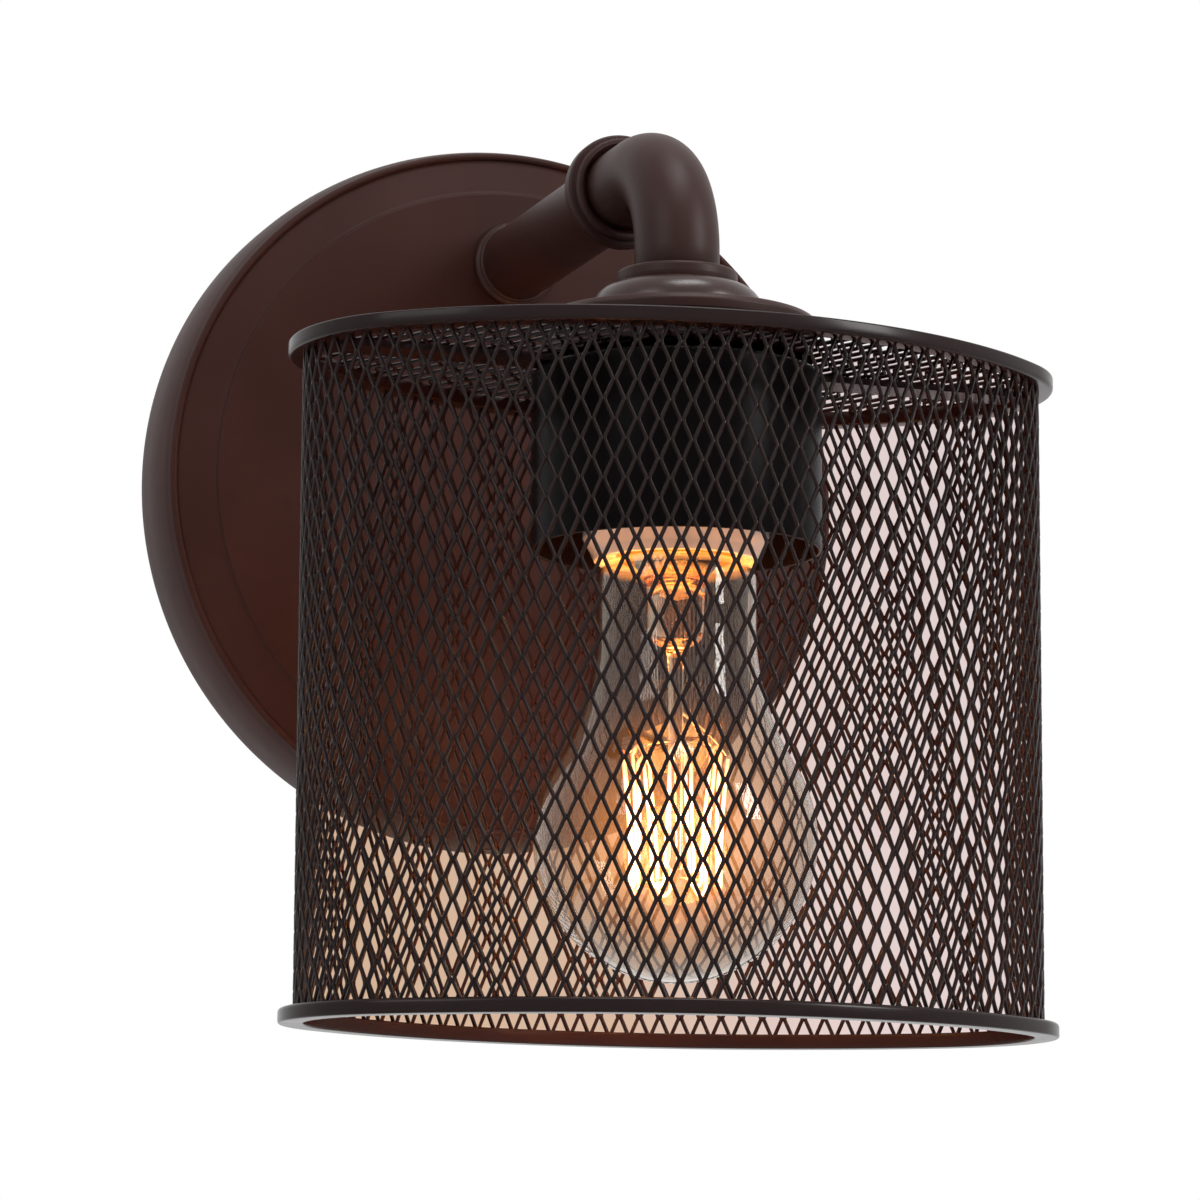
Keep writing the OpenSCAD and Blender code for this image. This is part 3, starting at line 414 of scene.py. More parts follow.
def metal(name, dark, light, rough, stretch=(1.0, 1.0, 14.0)):
    """Drawn or plated metal with a fine run of scratches."""
    mat, tree, bsdf = new_material(name)
    along = add(tree, "ShaderNodeMapping", {
        "Vector": own_place(tree), "Scale": stretch,
    }, "Vector")
    lines = noise(tree, 420.0, place=along)
    feed(tree, bsdf, {
        "Base Color": ramp(tree, lines, [(0.25, dark), (0.75, light)]),
        "Roughness": spread(tree, lines, *rough),
        "Metallic": 1.0,
    })
    bump(tree, lines, bsdf, 0.2, 0.00003)
    return mat


def porcelain_material():
    """Glazed porcelain, off-white and a little wavy under its glaze."""
    mat, tree, bsdf = new_material("glazed_porcelain")
    cloud = noise(tree, 90.0)
    feed(tree, bsdf, {
        "Base Color": ramp(tree, cloud, [(0.3, (0.44, 0.42, 0.42)), (0.7, (0.60, 0.58, 0.57))]),
        "Roughness": spread(tree, noise(tree, 300.0), 0.12, 0.24),
        "Coat Weight": 0.5,
        "Coat Roughness": 0.08,
    })
    bump(tree, noise(tree, 260.0, 2.0), bsdf, 0.25, 0.00005)
    return mat


def plastic(name, dark, light, rough):
    """Wire insulation or opaque glass with a fine grain."""
    mat, tree, bsdf = new_material(name)
    feed(tree, bsdf, {
        "Base Color": ramp(tree, noise(tree, 240.0), [(0.3, dark), (0.7, light)]),
        "Roughness": spread(tree, noise(tree, 700.0), rough - 0.06, rough + 0.06),
    })
    bump(tree, noise(tree, 1500.0), bsdf, 0.2, 0.00003)
    return mat


NECK_PAINTED_GLOW = 0.5        # strength of the painted warm glow in the glass at the root of the bulb


def painted_filament_glow(tree, bsdf, strength):
    """Painted glow: orange emission in the glass before and behind the lit filament, and at the
    glass's root, standing in for the filament's shine.
    """
    facing = add(tree, "ShaderNodeLayerWeight", {"Blend": 0.5}, "Facing")
    middle = ramp(tree, facing, [(0.0, (1, 1, 1)), (0.1, (0.5, 0.5, 0.5)),
                                 (0.2, (0.12, 0.12, 0.12)), (0.36, (0, 0, 0))])
    level = by_height(tree, glass_low + 1, glass_low + BULB_D)
    height = ramp(tree, level, [(0.0, (0, 0, 0)), (0.3, (1, 1, 1)), (0.7, (1, 1, 1)),
                                (1.0, (0, 0, 0))])
    both = maths(tree, "MULTIPLY", middle, height)
    root = by_height(tree, mouth_low - 2.2, mouth_low - 1.0, 0.0, NECK_PAINTED_GLOW)
    feed(tree, bsdf, {
        # painted glow: this emission in the glass stands in for the filament's light
        "Emission Color": (1.0, 0.34, 0.06, 1),
        "Emission Strength": maths(tree, "MULTIPLY_ADD", both, strength, root),
    })


def glass_material(name, dark, light, rough, painted_glow=0.0):
    """Clear glass that lets lamp light through without caustics; its last argument sets the
    strength of a painted glow in it.
    """
    mat, tree, bsdf = new_material(name)
    waves = noise(tree, 22.0, 2.0)
    feed(tree, bsdf, {
        "Base Color": ramp(tree, waves, [(0.3, dark), (0.7, light)]),
        "Roughness": spread(tree, waves, 0.0, rough),
        "Transmission Weight": 1.0,
        "IOR": 1.45,
    })
    bump(tree, waves, bsdf, 0.06, 0.0008)
    if painted_glow:
        painted_filament_glow(tree, bsdf, painted_glow)
    shadow = add(tree, "ShaderNodeLightPath", {}, "Is Shadow Ray")
    clear = add(tree, "ShaderNodeBsdfTransparent", {"Color": (*light, 1)}, "BSDF")
    end_material(tree, choose(tree, shadow, bsdf.outputs["BSDF"], clear))
    return mat


def filament_material():
    """Glowing wire: pale along its middle, orange at its edges, dull at the top of its runs."""
    mat, tree, bsdf = new_material("hot_filament")
    facing = add(tree, "ShaderNodeLayerWeight", {"Blend": 0.5}, "Facing")
    tone = ramp(tree, facing, [(0.08, (1.0, 0.90, 0.80)), (0.35, (1.0, 0.66, 0.36)),
                               (0.6, (1.0, 0.20, 0.04))])
    level = by_height(tree, filament_high - 3, filament_high - 10, 0.45, 3.4)
    uneven = spread(tree, noise(tree, 220.0, 3.0), 0.7, 1.3)
    feed(tree, bsdf, {
        "Base Color": tone,
        "Roughness": 0.5,
        "Emission Color": tone,
        "Emission Strength": maths(tree, "MULTIPLY", level, uneven),
    })
    return mat


# painted light: the plate's and the dome's copies of the bronze paint are painted a little lighter
# than the arm's, where those parts look brighter under the light
BRONZE = paint("bronze_paint", (0.026, 0.0095, 0.0075), (0.036, 0.0135, 0.011), (0.40, 0.50), 0.18)
PLATE_BRONZE_PAINTED_LIGHT = paint("plate_bronze_painted_light", (0.029, 0.0105, 0.008), (0.042, 0.016, 0.013), (0.42, 0.52), 0.1)
DOME_BRONZE_PAINTED_LIGHT = paint("dome_bronze_painted_light", (0.030, 0.012, 0.0095), (0.042, 0.017, 0.014), (0.24, 0.32), 0.35)
CAGE = paint("cage_paint", (0.010, 0.0038, 0.0035), (0.015, 0.006, 0.0055), (0.18, 0.28), 0.13,
             coat=0.05, grain=1600.0, grain_depth=0.00002)
CUP = paint("cup_paint", (0.003, 0.002, 0.002), (0.005, 0.003, 0.004), (0.22, 0.30), 0.05)
ZINC = metal("zinc_plate", (0.42, 0.41, 0.38), (0.56, 0.55, 0.51), (0.30, 0.45))
BRASS = metal("pressed_brass", (0.52, 0.34, 0.11), (0.68, 0.47, 0.19), (0.22, 0.36))
SOLDER = metal("solder", (0.46, 0.46, 0.46), (0.60, 0.60, 0.59), (0.30, 0.45))
WIRE = metal("support_wire", (0.26, 0.24, 0.22), (0.38, 0.36, 0.33), (0.25, 0.38))
COPPER = metal("tinned_copper", (0.56, 0.30, 0.17), (0.70, 0.42, 0.26), (0.28, 0.40),
               stretch=(14.0, 14.0, 1.0))
GREEN = paint("green_screw", (0.03, 0.17, 0.06), (0.05, 0.24, 0.09), (0.30, 0.42))
PORCELAIN = porcelain_material()
BLACK_WIRE = plastic("black_insulation", (0.012, 0.012, 0.012), (0.022, 0.021, 0.021), 0.45)
WHITE_WIRE = plastic("white_insulation", (0.68, 0.67, 0.62), (0.78, 0.77, 0.73), 0.42)
BLACK_GLASS = plastic("black_glass", (0.006, 0.006, 0.008), (0.012, 0.012, 0.014), 0.16)
# the bulb's glass carries a painted orange glow of the filament
GLASS = glass_material("bulb_glass", (0.76, 0.68, 0.58), (0.82, 0.76, 0.68), 0.02, painted_glow=0.24)
STEM_GLASS = glass_material("stem_glass", (0.90, 0.86, 0.80), (0.95, 0.92, 0.88), 0.03)
FILAMENT = filament_material()

SLOT_MATERIALS = {
    "bronze_paint": BRONZE, "cage_paint": CAGE, "cup_paint": CUP, "zinc_steel": ZINC,
    "green_steel": GREEN, "brass": BRASS, "porcelain": PORCELAIN,
    "black_insulation": BLACK_WIRE, "white_insulation": WHITE_WIRE, "copper": COPPER,
    "bulb_glass": GLASS, "stem_glass": STEM_GLASS, "black_glass": BLACK_GLASS,
    "solder": SOLDER, "support_wire": WIRE, "filament": FILAMENT,
}
for entry in frame["record"]["subparts"]:
    data = NODES[entry["node"]].data
    data.materials.clear()
    data.materials.append(SLOT_MATERIALS[entry["material_slot"]])


# ---- backplate and arm ----

PLATE_SHEET = 1.2       # thickness of the backplate
RAISED_R = 73.0         # radius of its raised middle
BEAD_R = 0.9            # radius of the bead near its edge
STEM_HOLE = 5.05        # radius of the holes that the threaded stem passes through
TUBE_BORE = 5.1         # inner radius of the arm's tube


def build_backplate():
    """Spun plate: its rim curves in to a bead, a sloped ring and the raised middle."""
    r, d, sheet = plate_r, plate_depth, PLATE_SHEET
    ring = d - 0.9
    edge = ring - 2.4
    bead = r - 3
    foot = 6                # height above the wall where the rim begins to curve in
    outer = [(r - sheet, 0), (r, 0, 0.25), (r, foot / 2)]
    steps = 8
    for i in range(1, steps + 1):
        t = i / steps
        outer.append((r - 1.6 * t * t, foot + (edge - foot - 1.4) * t))
    outer += arc(bead, edge - 0.2, BEAD_R, 0, 180, 10)
    outer += [(bead - 1.4, edge, 0.4), (RAISED_R + 0.5, ring, 0.3),
              (RAISED_R - 0.1, ring + 0.25, 0.15), (RAISED_R - 0.5, d, 0.45), (40, d), (0, d)]
    outer += [(0, d - sheet), (RAISED_R - sheet, d - sheet), (RAISED_R - sheet, ring - sheet),
              (bead - 1.4, edge - 1.6), (r - 2.8, edge - 2.8), (r - sheet, foot)]
    verts, faces = lathe(fillet(outer), 256, off_plate)
    piece("plate_dressed", verts, faces, "fixture", "bronze_paint", PLATE_BRONZE_PAINTED_LIGHT, ["backplate"],
          sharp=50)


def build_flange():
    """Ring where the arm meets the plate: a round foot with a smaller bead on it."""
    r, d = span("arm_flange", 0)[1], plate_depth
    bore = tube_r + 0.05
    ring = [(bore, d), (r - 0.6, d)]
    ring += arc(r - 1.2, d + 1.2, 1.2, -70, 62, 8)
    ring += [(r - 1.05, d + 2.55)]
    ring += arc(r - 1.35, d + 3.25, 0.7, -40, 90, 6)
    ring += [(bore, d + 4)]
    piece("flange_dressed", *lathe(ring, 128, off_wall), "fixture", "bronze_paint", BRONZE,
          ["arm_flange"])


def build_arm_tube():
    start, end = plate_depth, joint_depth
    straight = [(TUBE_BORE, start), (tube_r, start), (tube_r, end), (TUBE_BORE, end)]
    piece("tube_dressed", *lathe(straight, 128, off_wall), "fixture", "bronze_paint", BRONZE,
          ["arm_tube"])


def build_collar():
    """Stepped collar over the joint: a wide band and a narrower one towards the elbow."""
    start, end = (-v for v in span("arm_collar", 1)[::-1])
    wide = span("arm_collar", 0)[1]
    narrow = wide - 1.3
    bore = elbow_r + 0.05
    collar = [(bore, start), (wide, start, 0.6), (wide, start + 3.6, 0.7),
              (narrow, start + 3.7, 0.1), (narrow, end, 0.6), (bore + 1.1, end, 0.2),
              (bore, end - 1.2)]
    piece("collar_dressed", *lathe(fillet(collar), 160, off_wall), "fixture", "bronze_paint",
          BRONZE, ["arm_collar"])


def build_elbow():
    """Pipe that goes on from the joint, turns down in an even bend and ends on the holder."""
    reach = -axis_y
    bend = 22.0
    path = [(0, 0, joint_depth), (0, 0, joint_depth + 7)]
    steps = 36
    for i in range(steps + 1):
        a = math.pi / 2 * i / steps
        path.append((0, -bend + bend * math.cos(a), reach - bend + bend * math.sin(a)))
    rounded = 0.4           # height of the rounding at the elbow's foot
    path.append((0, elbow_foot - arm_z + rounded, reach))
    path.append((0, elbow_foot - arm_z, reach))
    radii = [elbow_r] * (len(path) - 1) + [elbow_r - 0.3]
    piece("elbow_dressed", *tube(path, radii, 96, off_wall), "fixture", "bronze_paint", BRONZE,
          ["arm_elbow"])


# ---- ring, dome and cap that hold the cage ----

def build_holder_ring():
    r = span("holder_ring", 0)[1]
    ring = [(STEM_HOLE, ring_low), (r - 0.2, ring_low, 0.5), (r, ring_low + 1.2, 0.8),
            (r, ring_high, 0.9), (STEM_HOLE, ring_high)]
    piece("ring_dressed", *lathe(fillet(ring), 128, on_cage), "fixture", "bronze_paint", BRONZE,
          ["holder_ring"])


def build_dome():
    """Dome that falls from the ring in a quarter oval to a thin lip."""
    r = span("holder_dome", 0)[1]
    top_r = span("holder_ring", 0)[1] + 0.2
    lip_top = dome_low + 0.9
    dome = [(STEM_HOLE, dome_low), (r, dome_low), (r, dome_low + 0.5), (r - 0.35, lip_top)]
    steps = 20
    for i in range(steps, -1, -1):
        t = math.pi / 2 * i / steps
        dome.append((top_r + (r - 0.5 - top_r) * math.sin(t),
                     lip_top + (dome_high - lip_top) * math.cos(t)))
    dome.append((STEM_HOLE, dome_high))
    piece("dome_dressed", *lathe(dome, 160, on_cage), "fixture", "bronze_paint", DOME_BRONZE_PAINTED_LIGHT,
          ["holder_dome"], sharp=30)


def build_fitter_cap():
    """Shallow cap with a hub on the stem and a skirt that stands on the top panel."""
    r, low, h = span("fitter_cap", 0)[1], cap_low, cap_high
    hub = 9
    inside, skirt = r - 3, r - 1.4
    cap = [(STEM_HOLE, low), (hub, low), (hub, h - 1.6), (inside, h - 2.2), (inside, low),
           (skirt, low, 0.3), (skirt, h - 4.6, 0.4), (r - 0.3, h - 3.6, 0.3),
           (r, h - 1.8, 0.8), (r - 0.9, h - 0.55, 0.8), (19.5, h), (STEM_HOLE, h)]
    piece("cap_dressed", *lathe(fillet(cap), 192, on_cage), "fixture", "bronze_paint", BRONZE,
          ["fitter_cap"])


# ---- cage ----

RIM_W = cage_right - span("cage_top_mesh", 0)[1] - 0.1
RIM_H = cage_top - span("cage_top_rim", 2)[0]
MESH_INSET = 3.6       # middle of the expanded metal, from the outside of the rims
COLUMNS = 91           # diamonds round the cage
HALF_ROWS = 34         # half diamonds from rim to rim
STRAND_W = 0.82        # width of a strand, seen from outside
STRAND_T = 0.8         # thickness of a strand, through the sheet
BOND_LAP = 0.12        # how far two strands overlap in a bond
# A strand from one bond to the next: how far along, how far across, how much it leans.
STRAND_RUN = ((0, 0, 0), (0.05, 0.012, 0.4), (0.12, 0.075, 1), (0.88, 0.925, 1),
              (0.95, 0.988, 0.4))
LEAN = 0.55            # roll of a leaning strand, in radians


def strand_rings(half_rows, pitch_h, pitch_v, side):
    """Middle line of one zigzag strand: (sideways, along, lean) at every ring."""
    out = []
    shift = pitch_h / 2 - STRAND_W + BOND_LAP
    for j in range(half_rows):
        for t, cross, lean in STRAND_RUN:
            if j % 2:
                cross, lean = 1 - cross, -lean
            out.append((side * (cross - 0.5) * shift, (j + t) * pitch_v, side * lean))
    last = 1.0 if half_rows % 2 else 0.0
    out.append((side * (last - 0.5) * shift, half_rows * pitch_v, 0.0))
    return out


def strand(rings, place_at):
    """One strand with a rounded section. place_at turns (sideways, out, along) into a point."""
    verts = []
    w, t = STRAND_W / 2, STRAND_T / 2
    section = [(-w * 0.7, t), (w * 0.7, t), (w, t * 0.6), (w, -t * 0.6),
               (w * 0.7, -t), (-w * 0.7, -t), (-w, -t * 0.6), (-w, t * 0.6)]
    for s, z, lean in rings:
        roll = LEAN * lean
        c, d = math.cos(roll), math.sin(roll)
        for a, b in section:
            verts.append(place_at(s + a * c + b * d, b * c - a * d, z))
    return verts, rod_faces(len(rings), len(section))


def build_side_mesh():
    """Upright zigzag strands round the oval, their ends inside the two rims."""
    low = cage_bottom + RIM_H - 0.6
    high = cage_top - RIM_H + 0.6
    pitch_v = (high - low) / HALF_ROWS
    whole = oval_length(MESH_INSET)
    pitch_h = whole / COLUMNS

    def wrap(s, out, z):
        p, normal = oval_at(s, MESH_INSET)
        return on_cage((p.x + normal.x * out, p.y + normal.y * out, low + z))

    parts = []
    for side in (1, -1):
        rings = strand_rings(HALF_ROWS, pitch_h, pitch_v, side)
        for i in range(COLUMNS):
            middle = (i + (0.25 if side > 0 else 0.75)) * pitch_h
            parts.append(strand(rings, lambda s, o, z, m=middle: wrap(m + s, o, z)))
    verts, faces = merge(parts)
    piece("expanded_metal_side", verts, faces, "fixture", "cage_paint", CAGE, ["cage_mesh"],
          sharp=60)


def oval_half_width(x, inset):
    """Half width of the oval at a distance x from its middle."""
    turn_x = end_centre + (END_R - inset) * math.cos(arc_turn)
    if abs(x) < turn_x:
        return math.sqrt((side_r - inset) ** 2 - x * x) - side_centre
    reach = (END_R - inset) ** 2 - (abs(x) - end_centre) ** 2
    return math.sqrt(max(reach, 0))


def build_top_mesh():
    """Flat panel of the same metal: strands cut to the oval, and a hub round the stem."""
    pitch_h, pitch_v = 5.05, 4.35
    level = cage_top - 0.5
    inset = RIM_W - 0.4
    half_l = cage_l / 2 - inset
    parts = []
    columns = int(half_l / pitch_h) + 1
    for i in range(-columns, columns):
        for side in (1, -1):
            middle = (i + (0.25 if side > 0 else 0.75)) * pitch_h
            if abs(middle) > half_l - 1.2:
                continue
            reach = oval_half_width(abs(middle) + 1.0, inset)
            if reach < 3:
                continue
            half = int(reach / pitch_v) + 1
            rings = strand_rings(2 * half, pitch_h, pitch_v, side)
            kept = [(s, z - half * pitch_v, lean) for s, z, lean in rings
                    if abs(z - half * pitch_v) <= reach]
            kept = [(kept[0][0], -reach, 0)] + kept[1:-1] + [(kept[-1][0], reach, 0)]
            parts.append(strand(kept, lambda s, o, z, m=middle: on_cage((m + s, z, level + o))))
    hub = 9
    low, high = level - 0.5, level + 0.5
    ring = [(STEM_HOLE, low), (hub, low), (hub, high), (STEM_HOLE, high)]
    parts.append(lathe(ring, 64, on_cage))
    verts, faces = merge(parts)
    piece("expanded_metal_top", verts, faces, "fixture", "cage_paint", CAGE, ["cage_top_mesh"],
          sharp=60)


def build_rims():
    """Upper and lower rim: one section, turned upside down for the upper one."""
    section = fillet([(0, 0, 0.5), (RIM_W, 0, 0.3), (RIM_W, RIM_H, 0.5), (0, RIM_H, 0.9)])
    low = [(x, z + cage_bottom) for x, z in section]
    high = [(x, cage_top - z) for x, z in section]
    piece("rim_low_dressed", *oval_sweep(low, 320, on_cage), "fixture", "cage_paint", CAGE,
          ["cage_bottom_rim"])
    piece("rim_top_dressed", *oval_sweep(high, 320, on_cage), "fixture", "cage_paint", CAGE,
          ["cage_top_rim"])


# ---- socket ----

THREAD_TURNS = 6
THREAD_STEPS = 8        # points of one turn


def thread_wall(r, depth, low, high):
    """Waved wall of a pressed screw thread, as (radius, height) from low to high."""
    count = THREAD_TURNS * THREAD_STEPS
    return [(r + depth * math.cos(2 * math.pi * i / THREAD_STEPS), low + (high - low) * i / count)
            for i in range(count + 1)]


def build_cup():
    r = span("socket_cup", 0)[1]
    sheet = 1
    cup = [(STEM_HOLE, cup_high), (r, cup_high, 1.2), (r, cup_low, 0.45),
           (r - sheet, cup_low, 0.4), (r - sheet, cup_high - sheet, 1.0),
           (STEM_HOLE, cup_high - sheet)]
    piece("cup_dressed", *lathe(fillet(cup), 192, on_cage), "fixture", "cup_paint", CUP,
          ["socket_cup"])


def build_porcelain():
    """Hollow body: a tapered mouth, a wider band and a narrower top that is closed."""
    r, m = span("socket_porcelain", 0)[1], mouth_low
    top, roof = porcelain_top, porcelain_top - 3.4
    upper_r, hollow_r = 17, 13.95
    body = [(16.6, m, 0.3), (17.7, m, 0.4), (18.7, m + 2.2, 1.0), (r, m + 5.0, 0.8),
            (r, m + 11, 1.5), (upper_r, m + 11.3, 0.6), (upper_r, top - 0.01, 1.0), (0, top),
            (0, roof), (hollow_r, roof), (hollow_r, m + 3.8, 0.3), (15.9, m + 2.6, 0.5)]
    piece("porcelain_dressed", *lathe(fillet(body), 160, on_cage), "fixture", "porcelain",
          PORCELAIN, ["socket_porcelain"])


def build_screw_shell():
    low, high = span("socket_screw_shell", 2)
    inner, outer = (thread_wall(r, 0.14, low, high) for r in (13.5, 13.72))
    piece("shell_dressed", *lathe(inner + outer[::-1], 96, on_cage), "fixture", "brass", BRASS,
          ["socket_screw_shell"])


# ---- bulb ----

BULB_R = BULB_D / 2
NECK_R = 17.3
ROOT_R = 12.45          # radius of the glass where it stands in the cap
FLARE_H = 4.2           # height of the curve between root and neck
NECK_H = 10.5           # height of the straight neck
GLASS_T = 0.7           # thickness of the glass

HOOKS = 15              # support wires, one at each turn of the filament
TOP_R, LOW_R = 11.3, 9.8            # radius of the filament's upper and lower turns
TURN_H = 1.5            # height of a round turn
FILAMENT_R, HOOK_R = 0.44, 0.16     # radius of the glowing wire and of a support wire
filament_top, filament_foot = filament_high - 0.4, filament_low + 0.4


def glass_outline(inset):
    """Outside of the glass from its root in the cap to its tip, drawn in by inset."""
    r, neck, root = BULB_R - inset, NECK_R - inset, ROOT_R - inset
    centre = glass_low + BULB_R
    neck_end = bulb_cap_low - FLARE_H - NECK_H
    drop = neck_end - centre
    round_r = (drop * drop + neck * neck - r * r) / (2 * (r - neck))
    turn = math.atan2(drop, neck + round_r)
    flare_steps, shoulder_steps, ball_steps = 12, 24, 40
    out = [(root, glass_high), (root, bulb_cap_low)]
    for i in range(1, flare_steps + 1):
        t = math.pi / 2 * i / flare_steps
        out.append((root + (NECK_R - ROOT_R) * math.sin(t),
                    bulb_cap_low - FLARE_H * (1 - math.cos(t))))
    for i in range(shoulder_steps + 1):
        t = turn * i / shoulder_steps
        out.append((neck + round_r - round_r * math.cos(t), neck_end - round_r * math.sin(t)))
    for i in range(1, ball_steps):
        t = turn + (-math.pi / 2 - turn) * i / ball_steps
        out.append((r * math.cos(t), centre + r * math.sin(t)))
    out.append((0, centre - r))
    return out


def build_glass():
    outer, inner = glass_outline(0), glass_outline(GLASS_T)
    piece("glass_dressed", *lathe(outer + inner[::-1], 128, on_cage), "bulb", "bulb_glass",
          GLASS, ["bulb_glass"], sharp=60)


def build_bulb_cap():
    """Screw cap: a plain rim, the thread and a shoulder that closes in to the insulator."""
    low, high = bulb_cap_low, bulb_cap_high
    cap = [(12.4, low), (12.95, low), (12.95, low + 1.5)]
    cap += thread_wall(12.75, 0.2, low + 2, high - 3)
    cap += [(12.4, high - 2), (9.4, high - 0.3), (8.0, high), (8.0, high - 0.5), (9.2, high - 0.9),
            (12.0, high - 2.6), (12.4, low + 2)]
    piece("bulb_cap_dressed", *lathe(cap, 96, on_cage), "bulb", "brass", BRASS,
          ["bulb_screw_cap"])


def build_stem():
    """Glass stem: a flare in the cap, a pinched tube and a thin rod with a button below."""
    low, tip = bulb_cap_low, span("bulb_stem", 2)[0]
    root = ROOT_R - 0.9
    profile = [(0, low + 2), (root, low + 2), (root, low + 1), (9.6, low - 0.6), (7.6, low - 2.6),
               (6.4, low - 5), (6.1, low - 9), (6.1, low - 15), (5.6, low - 17), (4.2, low - 18.3),
               (2.4, low - 19), (1.9, low - 20.5), (1.6, low - 24), (1.6, tip + 3),
               (2.1, tip + 1.6), (1.8, tip + 0.4), (0, tip)]
    piece("stem_dressed", *lathe(profile, 64, on_cage), "bulb", "stem_glass", STEM_GLASS,
          ["bulb_stem"], sharp=60)


def hook_angle(i):
    """Angle of a hook round the bulb's axis."""
    return 2 * math.pi * (i + 0.5) / HOOKS


def on_ring(r, a, z):
    """Point at a radius and an angle round the bulb's axis."""
    return Vector((r * math.cos(a), r * math.sin(a), z))


def filament_path():
    """Long upright runs from hook to hook, joined by round turns above and below."""
    run_steps, turn_steps = 12, 6
    points = []
    for i in range(HOOKS - 1):
        a0, a1 = hook_angle(i), hook_angle(i + 1)
        bow = 0.35 * (a1 - a0)
        upper, lower = (TOP_R, filament_top), (LOW_R, filament_foot)
        rises = i % 2 == 1
        (r0, z0), (r1, z1) = (lower, upper) if rises else (upper, lower)
        for k in range(run_steps + 1):
            t = k / run_steps
            ease = t * t * (3 - 2 * t)
            r = r0 + (r1 - r0) * t - 0.5 * math.sin(math.pi * t)
            a = a0 + bow + (a1 - a0 - 2 * bow) * ease
            points.append(on_ring(r, a, z0 + (z1 - z0) * t))
        if i == HOOKS - 2:
            break
        for k in range(1, turn_steps):
            t = k / turn_steps
            out = TURN_H * math.sin(math.pi * t)
            points.append(on_ring(r1, a1 + bow * (2 * t - 1), z1 + (out if rises else -out)))
    return points


def build_filament():
    piece("filament_dressed", *tube(filament_path(), FILAMENT_R, 10, on_cage), "bulb",
          "filament", FILAMENT, ["bulb_filament"], sharp=60)


def build_support_wires():
    """One wire from the stem to each turn of the filament. The first and last are its leads."""
    steps = 8
    wires = []
    for i in range(HOOKS):
        top = i % 2 == 0
        a = hook_angle(i)
        r = (TOP_R if top else LOW_R) - 0.2
        z = filament_top + 1.0 if top else filament_foot - 1.0
        rise = 9.0 if i in (0, HOOKS - 1) else 2.5
        start, end = on_ring(1.6, a, z + rise), on_ring(r, a, z)
        line = []
        for k in range(steps + 1):
            p = start.lerp(end, k / steps)
            p.z += math.sin(math.pi * k / steps) * (0.6 if top else 0.4)
            line.append(p)
        wires.append(tube(line, HOOK_R, 8, on_cage))
    verts, faces = merge(wires)
    piece("support_wires_dressed", verts, faces, "bulb", "support_wire", WIRE,
          ["bulb_support_wires"], sharp=60)


build_backplate()
build_flange()
build_arm_tube()
build_collar()
build_elbow()
build_holder_ring()
build_dome()
build_fitter_cap()
build_side_mesh()
build_top_mesh()
build_rims()
build_cup()
build_porcelain()
build_screw_shell()
build_glass()
build_bulb_cap()
build_stem()
build_filament()
build_support_wires()


# ---- camera ----

CAMERA_AT = (-0.34294, -1.06263, -0.20345)
YAW, PITCH, ROLL = math.radians(19.36), math.radians(9.17), math.radians(0.33)
PICTURE_PX = 1200
FOCAL_PX = 4644.5       # focal length in pixels of such a picture


def build_camera():
    data = bpy.data.cameras.new("camera")
    data.sensor_width = 36.0
    data.lens = FOCAL_PX / PICTURE_PX * data.sensor_width
    data.clip_start, data.clip_end = 0.05, 50.0
    cam = bpy.data.objects.new("camera", data)
    bpy.context.scene.collection.objects.link(cam)
    forward = Vector((math.sin(YAW) * math.cos(PITCH), math.cos(YAW) * math.cos(PITCH),
                      math.sin(PITCH)))
    right = Vector((math.cos(YAW), -math.sin(YAW), 0))
    up = right.cross(forward)
    right, up = (right * math.cos(ROLL) + up * math.sin(ROLL),
                 up * math.cos(ROLL) - right * math.sin(ROLL))
    axes = Matrix((right, up, -forward)).transposed()
    cam.matrix_world = Matrix.Translation(CAMERA_AT) @ axes.to_4x4()
    bpy.context.scene.camera = cam


build_camera()


# ---- stage: wall and floor ----

WHITE = (1, 1, 1, 1)
WALL_LIT = (0.74, 0.68, 0.66, 1)    # the wall's colour for diffuse rays
WALL_ROUGH = 0.9
WALL_Y = 0.0006         # the wall lies this far behind the plane of the backplate's rim
SHADE_Y = 0.0003        # and the shaded patch lies between the two
WALL_HALF = 1.6         # half the wall's width, and the height of its top
FLOOR_Z = -0.45
FLOOR_CLEAR = (0.4, 1.2)            # distances from the light between which it turns white


def stage_mesh(name, verts, faces, mat):
    """A mesh that belongs to the stage and not to the object."""
    mesh = bpy.data.meshes.new(name)
    mesh.from_pydata(verts, [], faces)
    mesh.materials.append(mat)
    obj = bpy.data.objects.new(name, mesh)
    bpy.context.scene.collection.objects.link(obj)
    return obj


def seen_directly(tree):
    """1 for the rays of the camera and those that mirrors and glass send on, else 0."""
    rays = tree.nodes.new("ShaderNodeLightPath").outputs
    sent_on = maths(tree, "MAXIMUM", rays["Is Glossy Ray"], rays["Is Transmission Ray"])
    return maths(tree, "MAXIMUM", rays["Is Camera Ray"], sent_on)


def back_side(tree):
    """1 where a stage surface is seen from behind."""
    return add(tree, "ShaderNodeNewGeometry", {}, "Backfacing")


def flat_distance(tree, axes):
    """Distance from the middle of the backplate, counted along the given axes only."""
    flat = add(tree, "ShaderNodeVectorMath", {0: own_place(tree), 1: axes}, "Vector",
               operation="MULTIPLY")
    return add(tree, "ShaderNodeVectorMath", {0: flat}, "Value", operation="LENGTH")


def back_or_hole(tree):
    """1 on the back of the wall and where the open back of the backplate lies against it."""
    hole = maths(tree, "LESS_THAN", flat_distance(tree, (1, 0, 1)), (plate_r - 2) * MM)
    return maths(tree, "MAXIMUM", back_side(tree), hole)


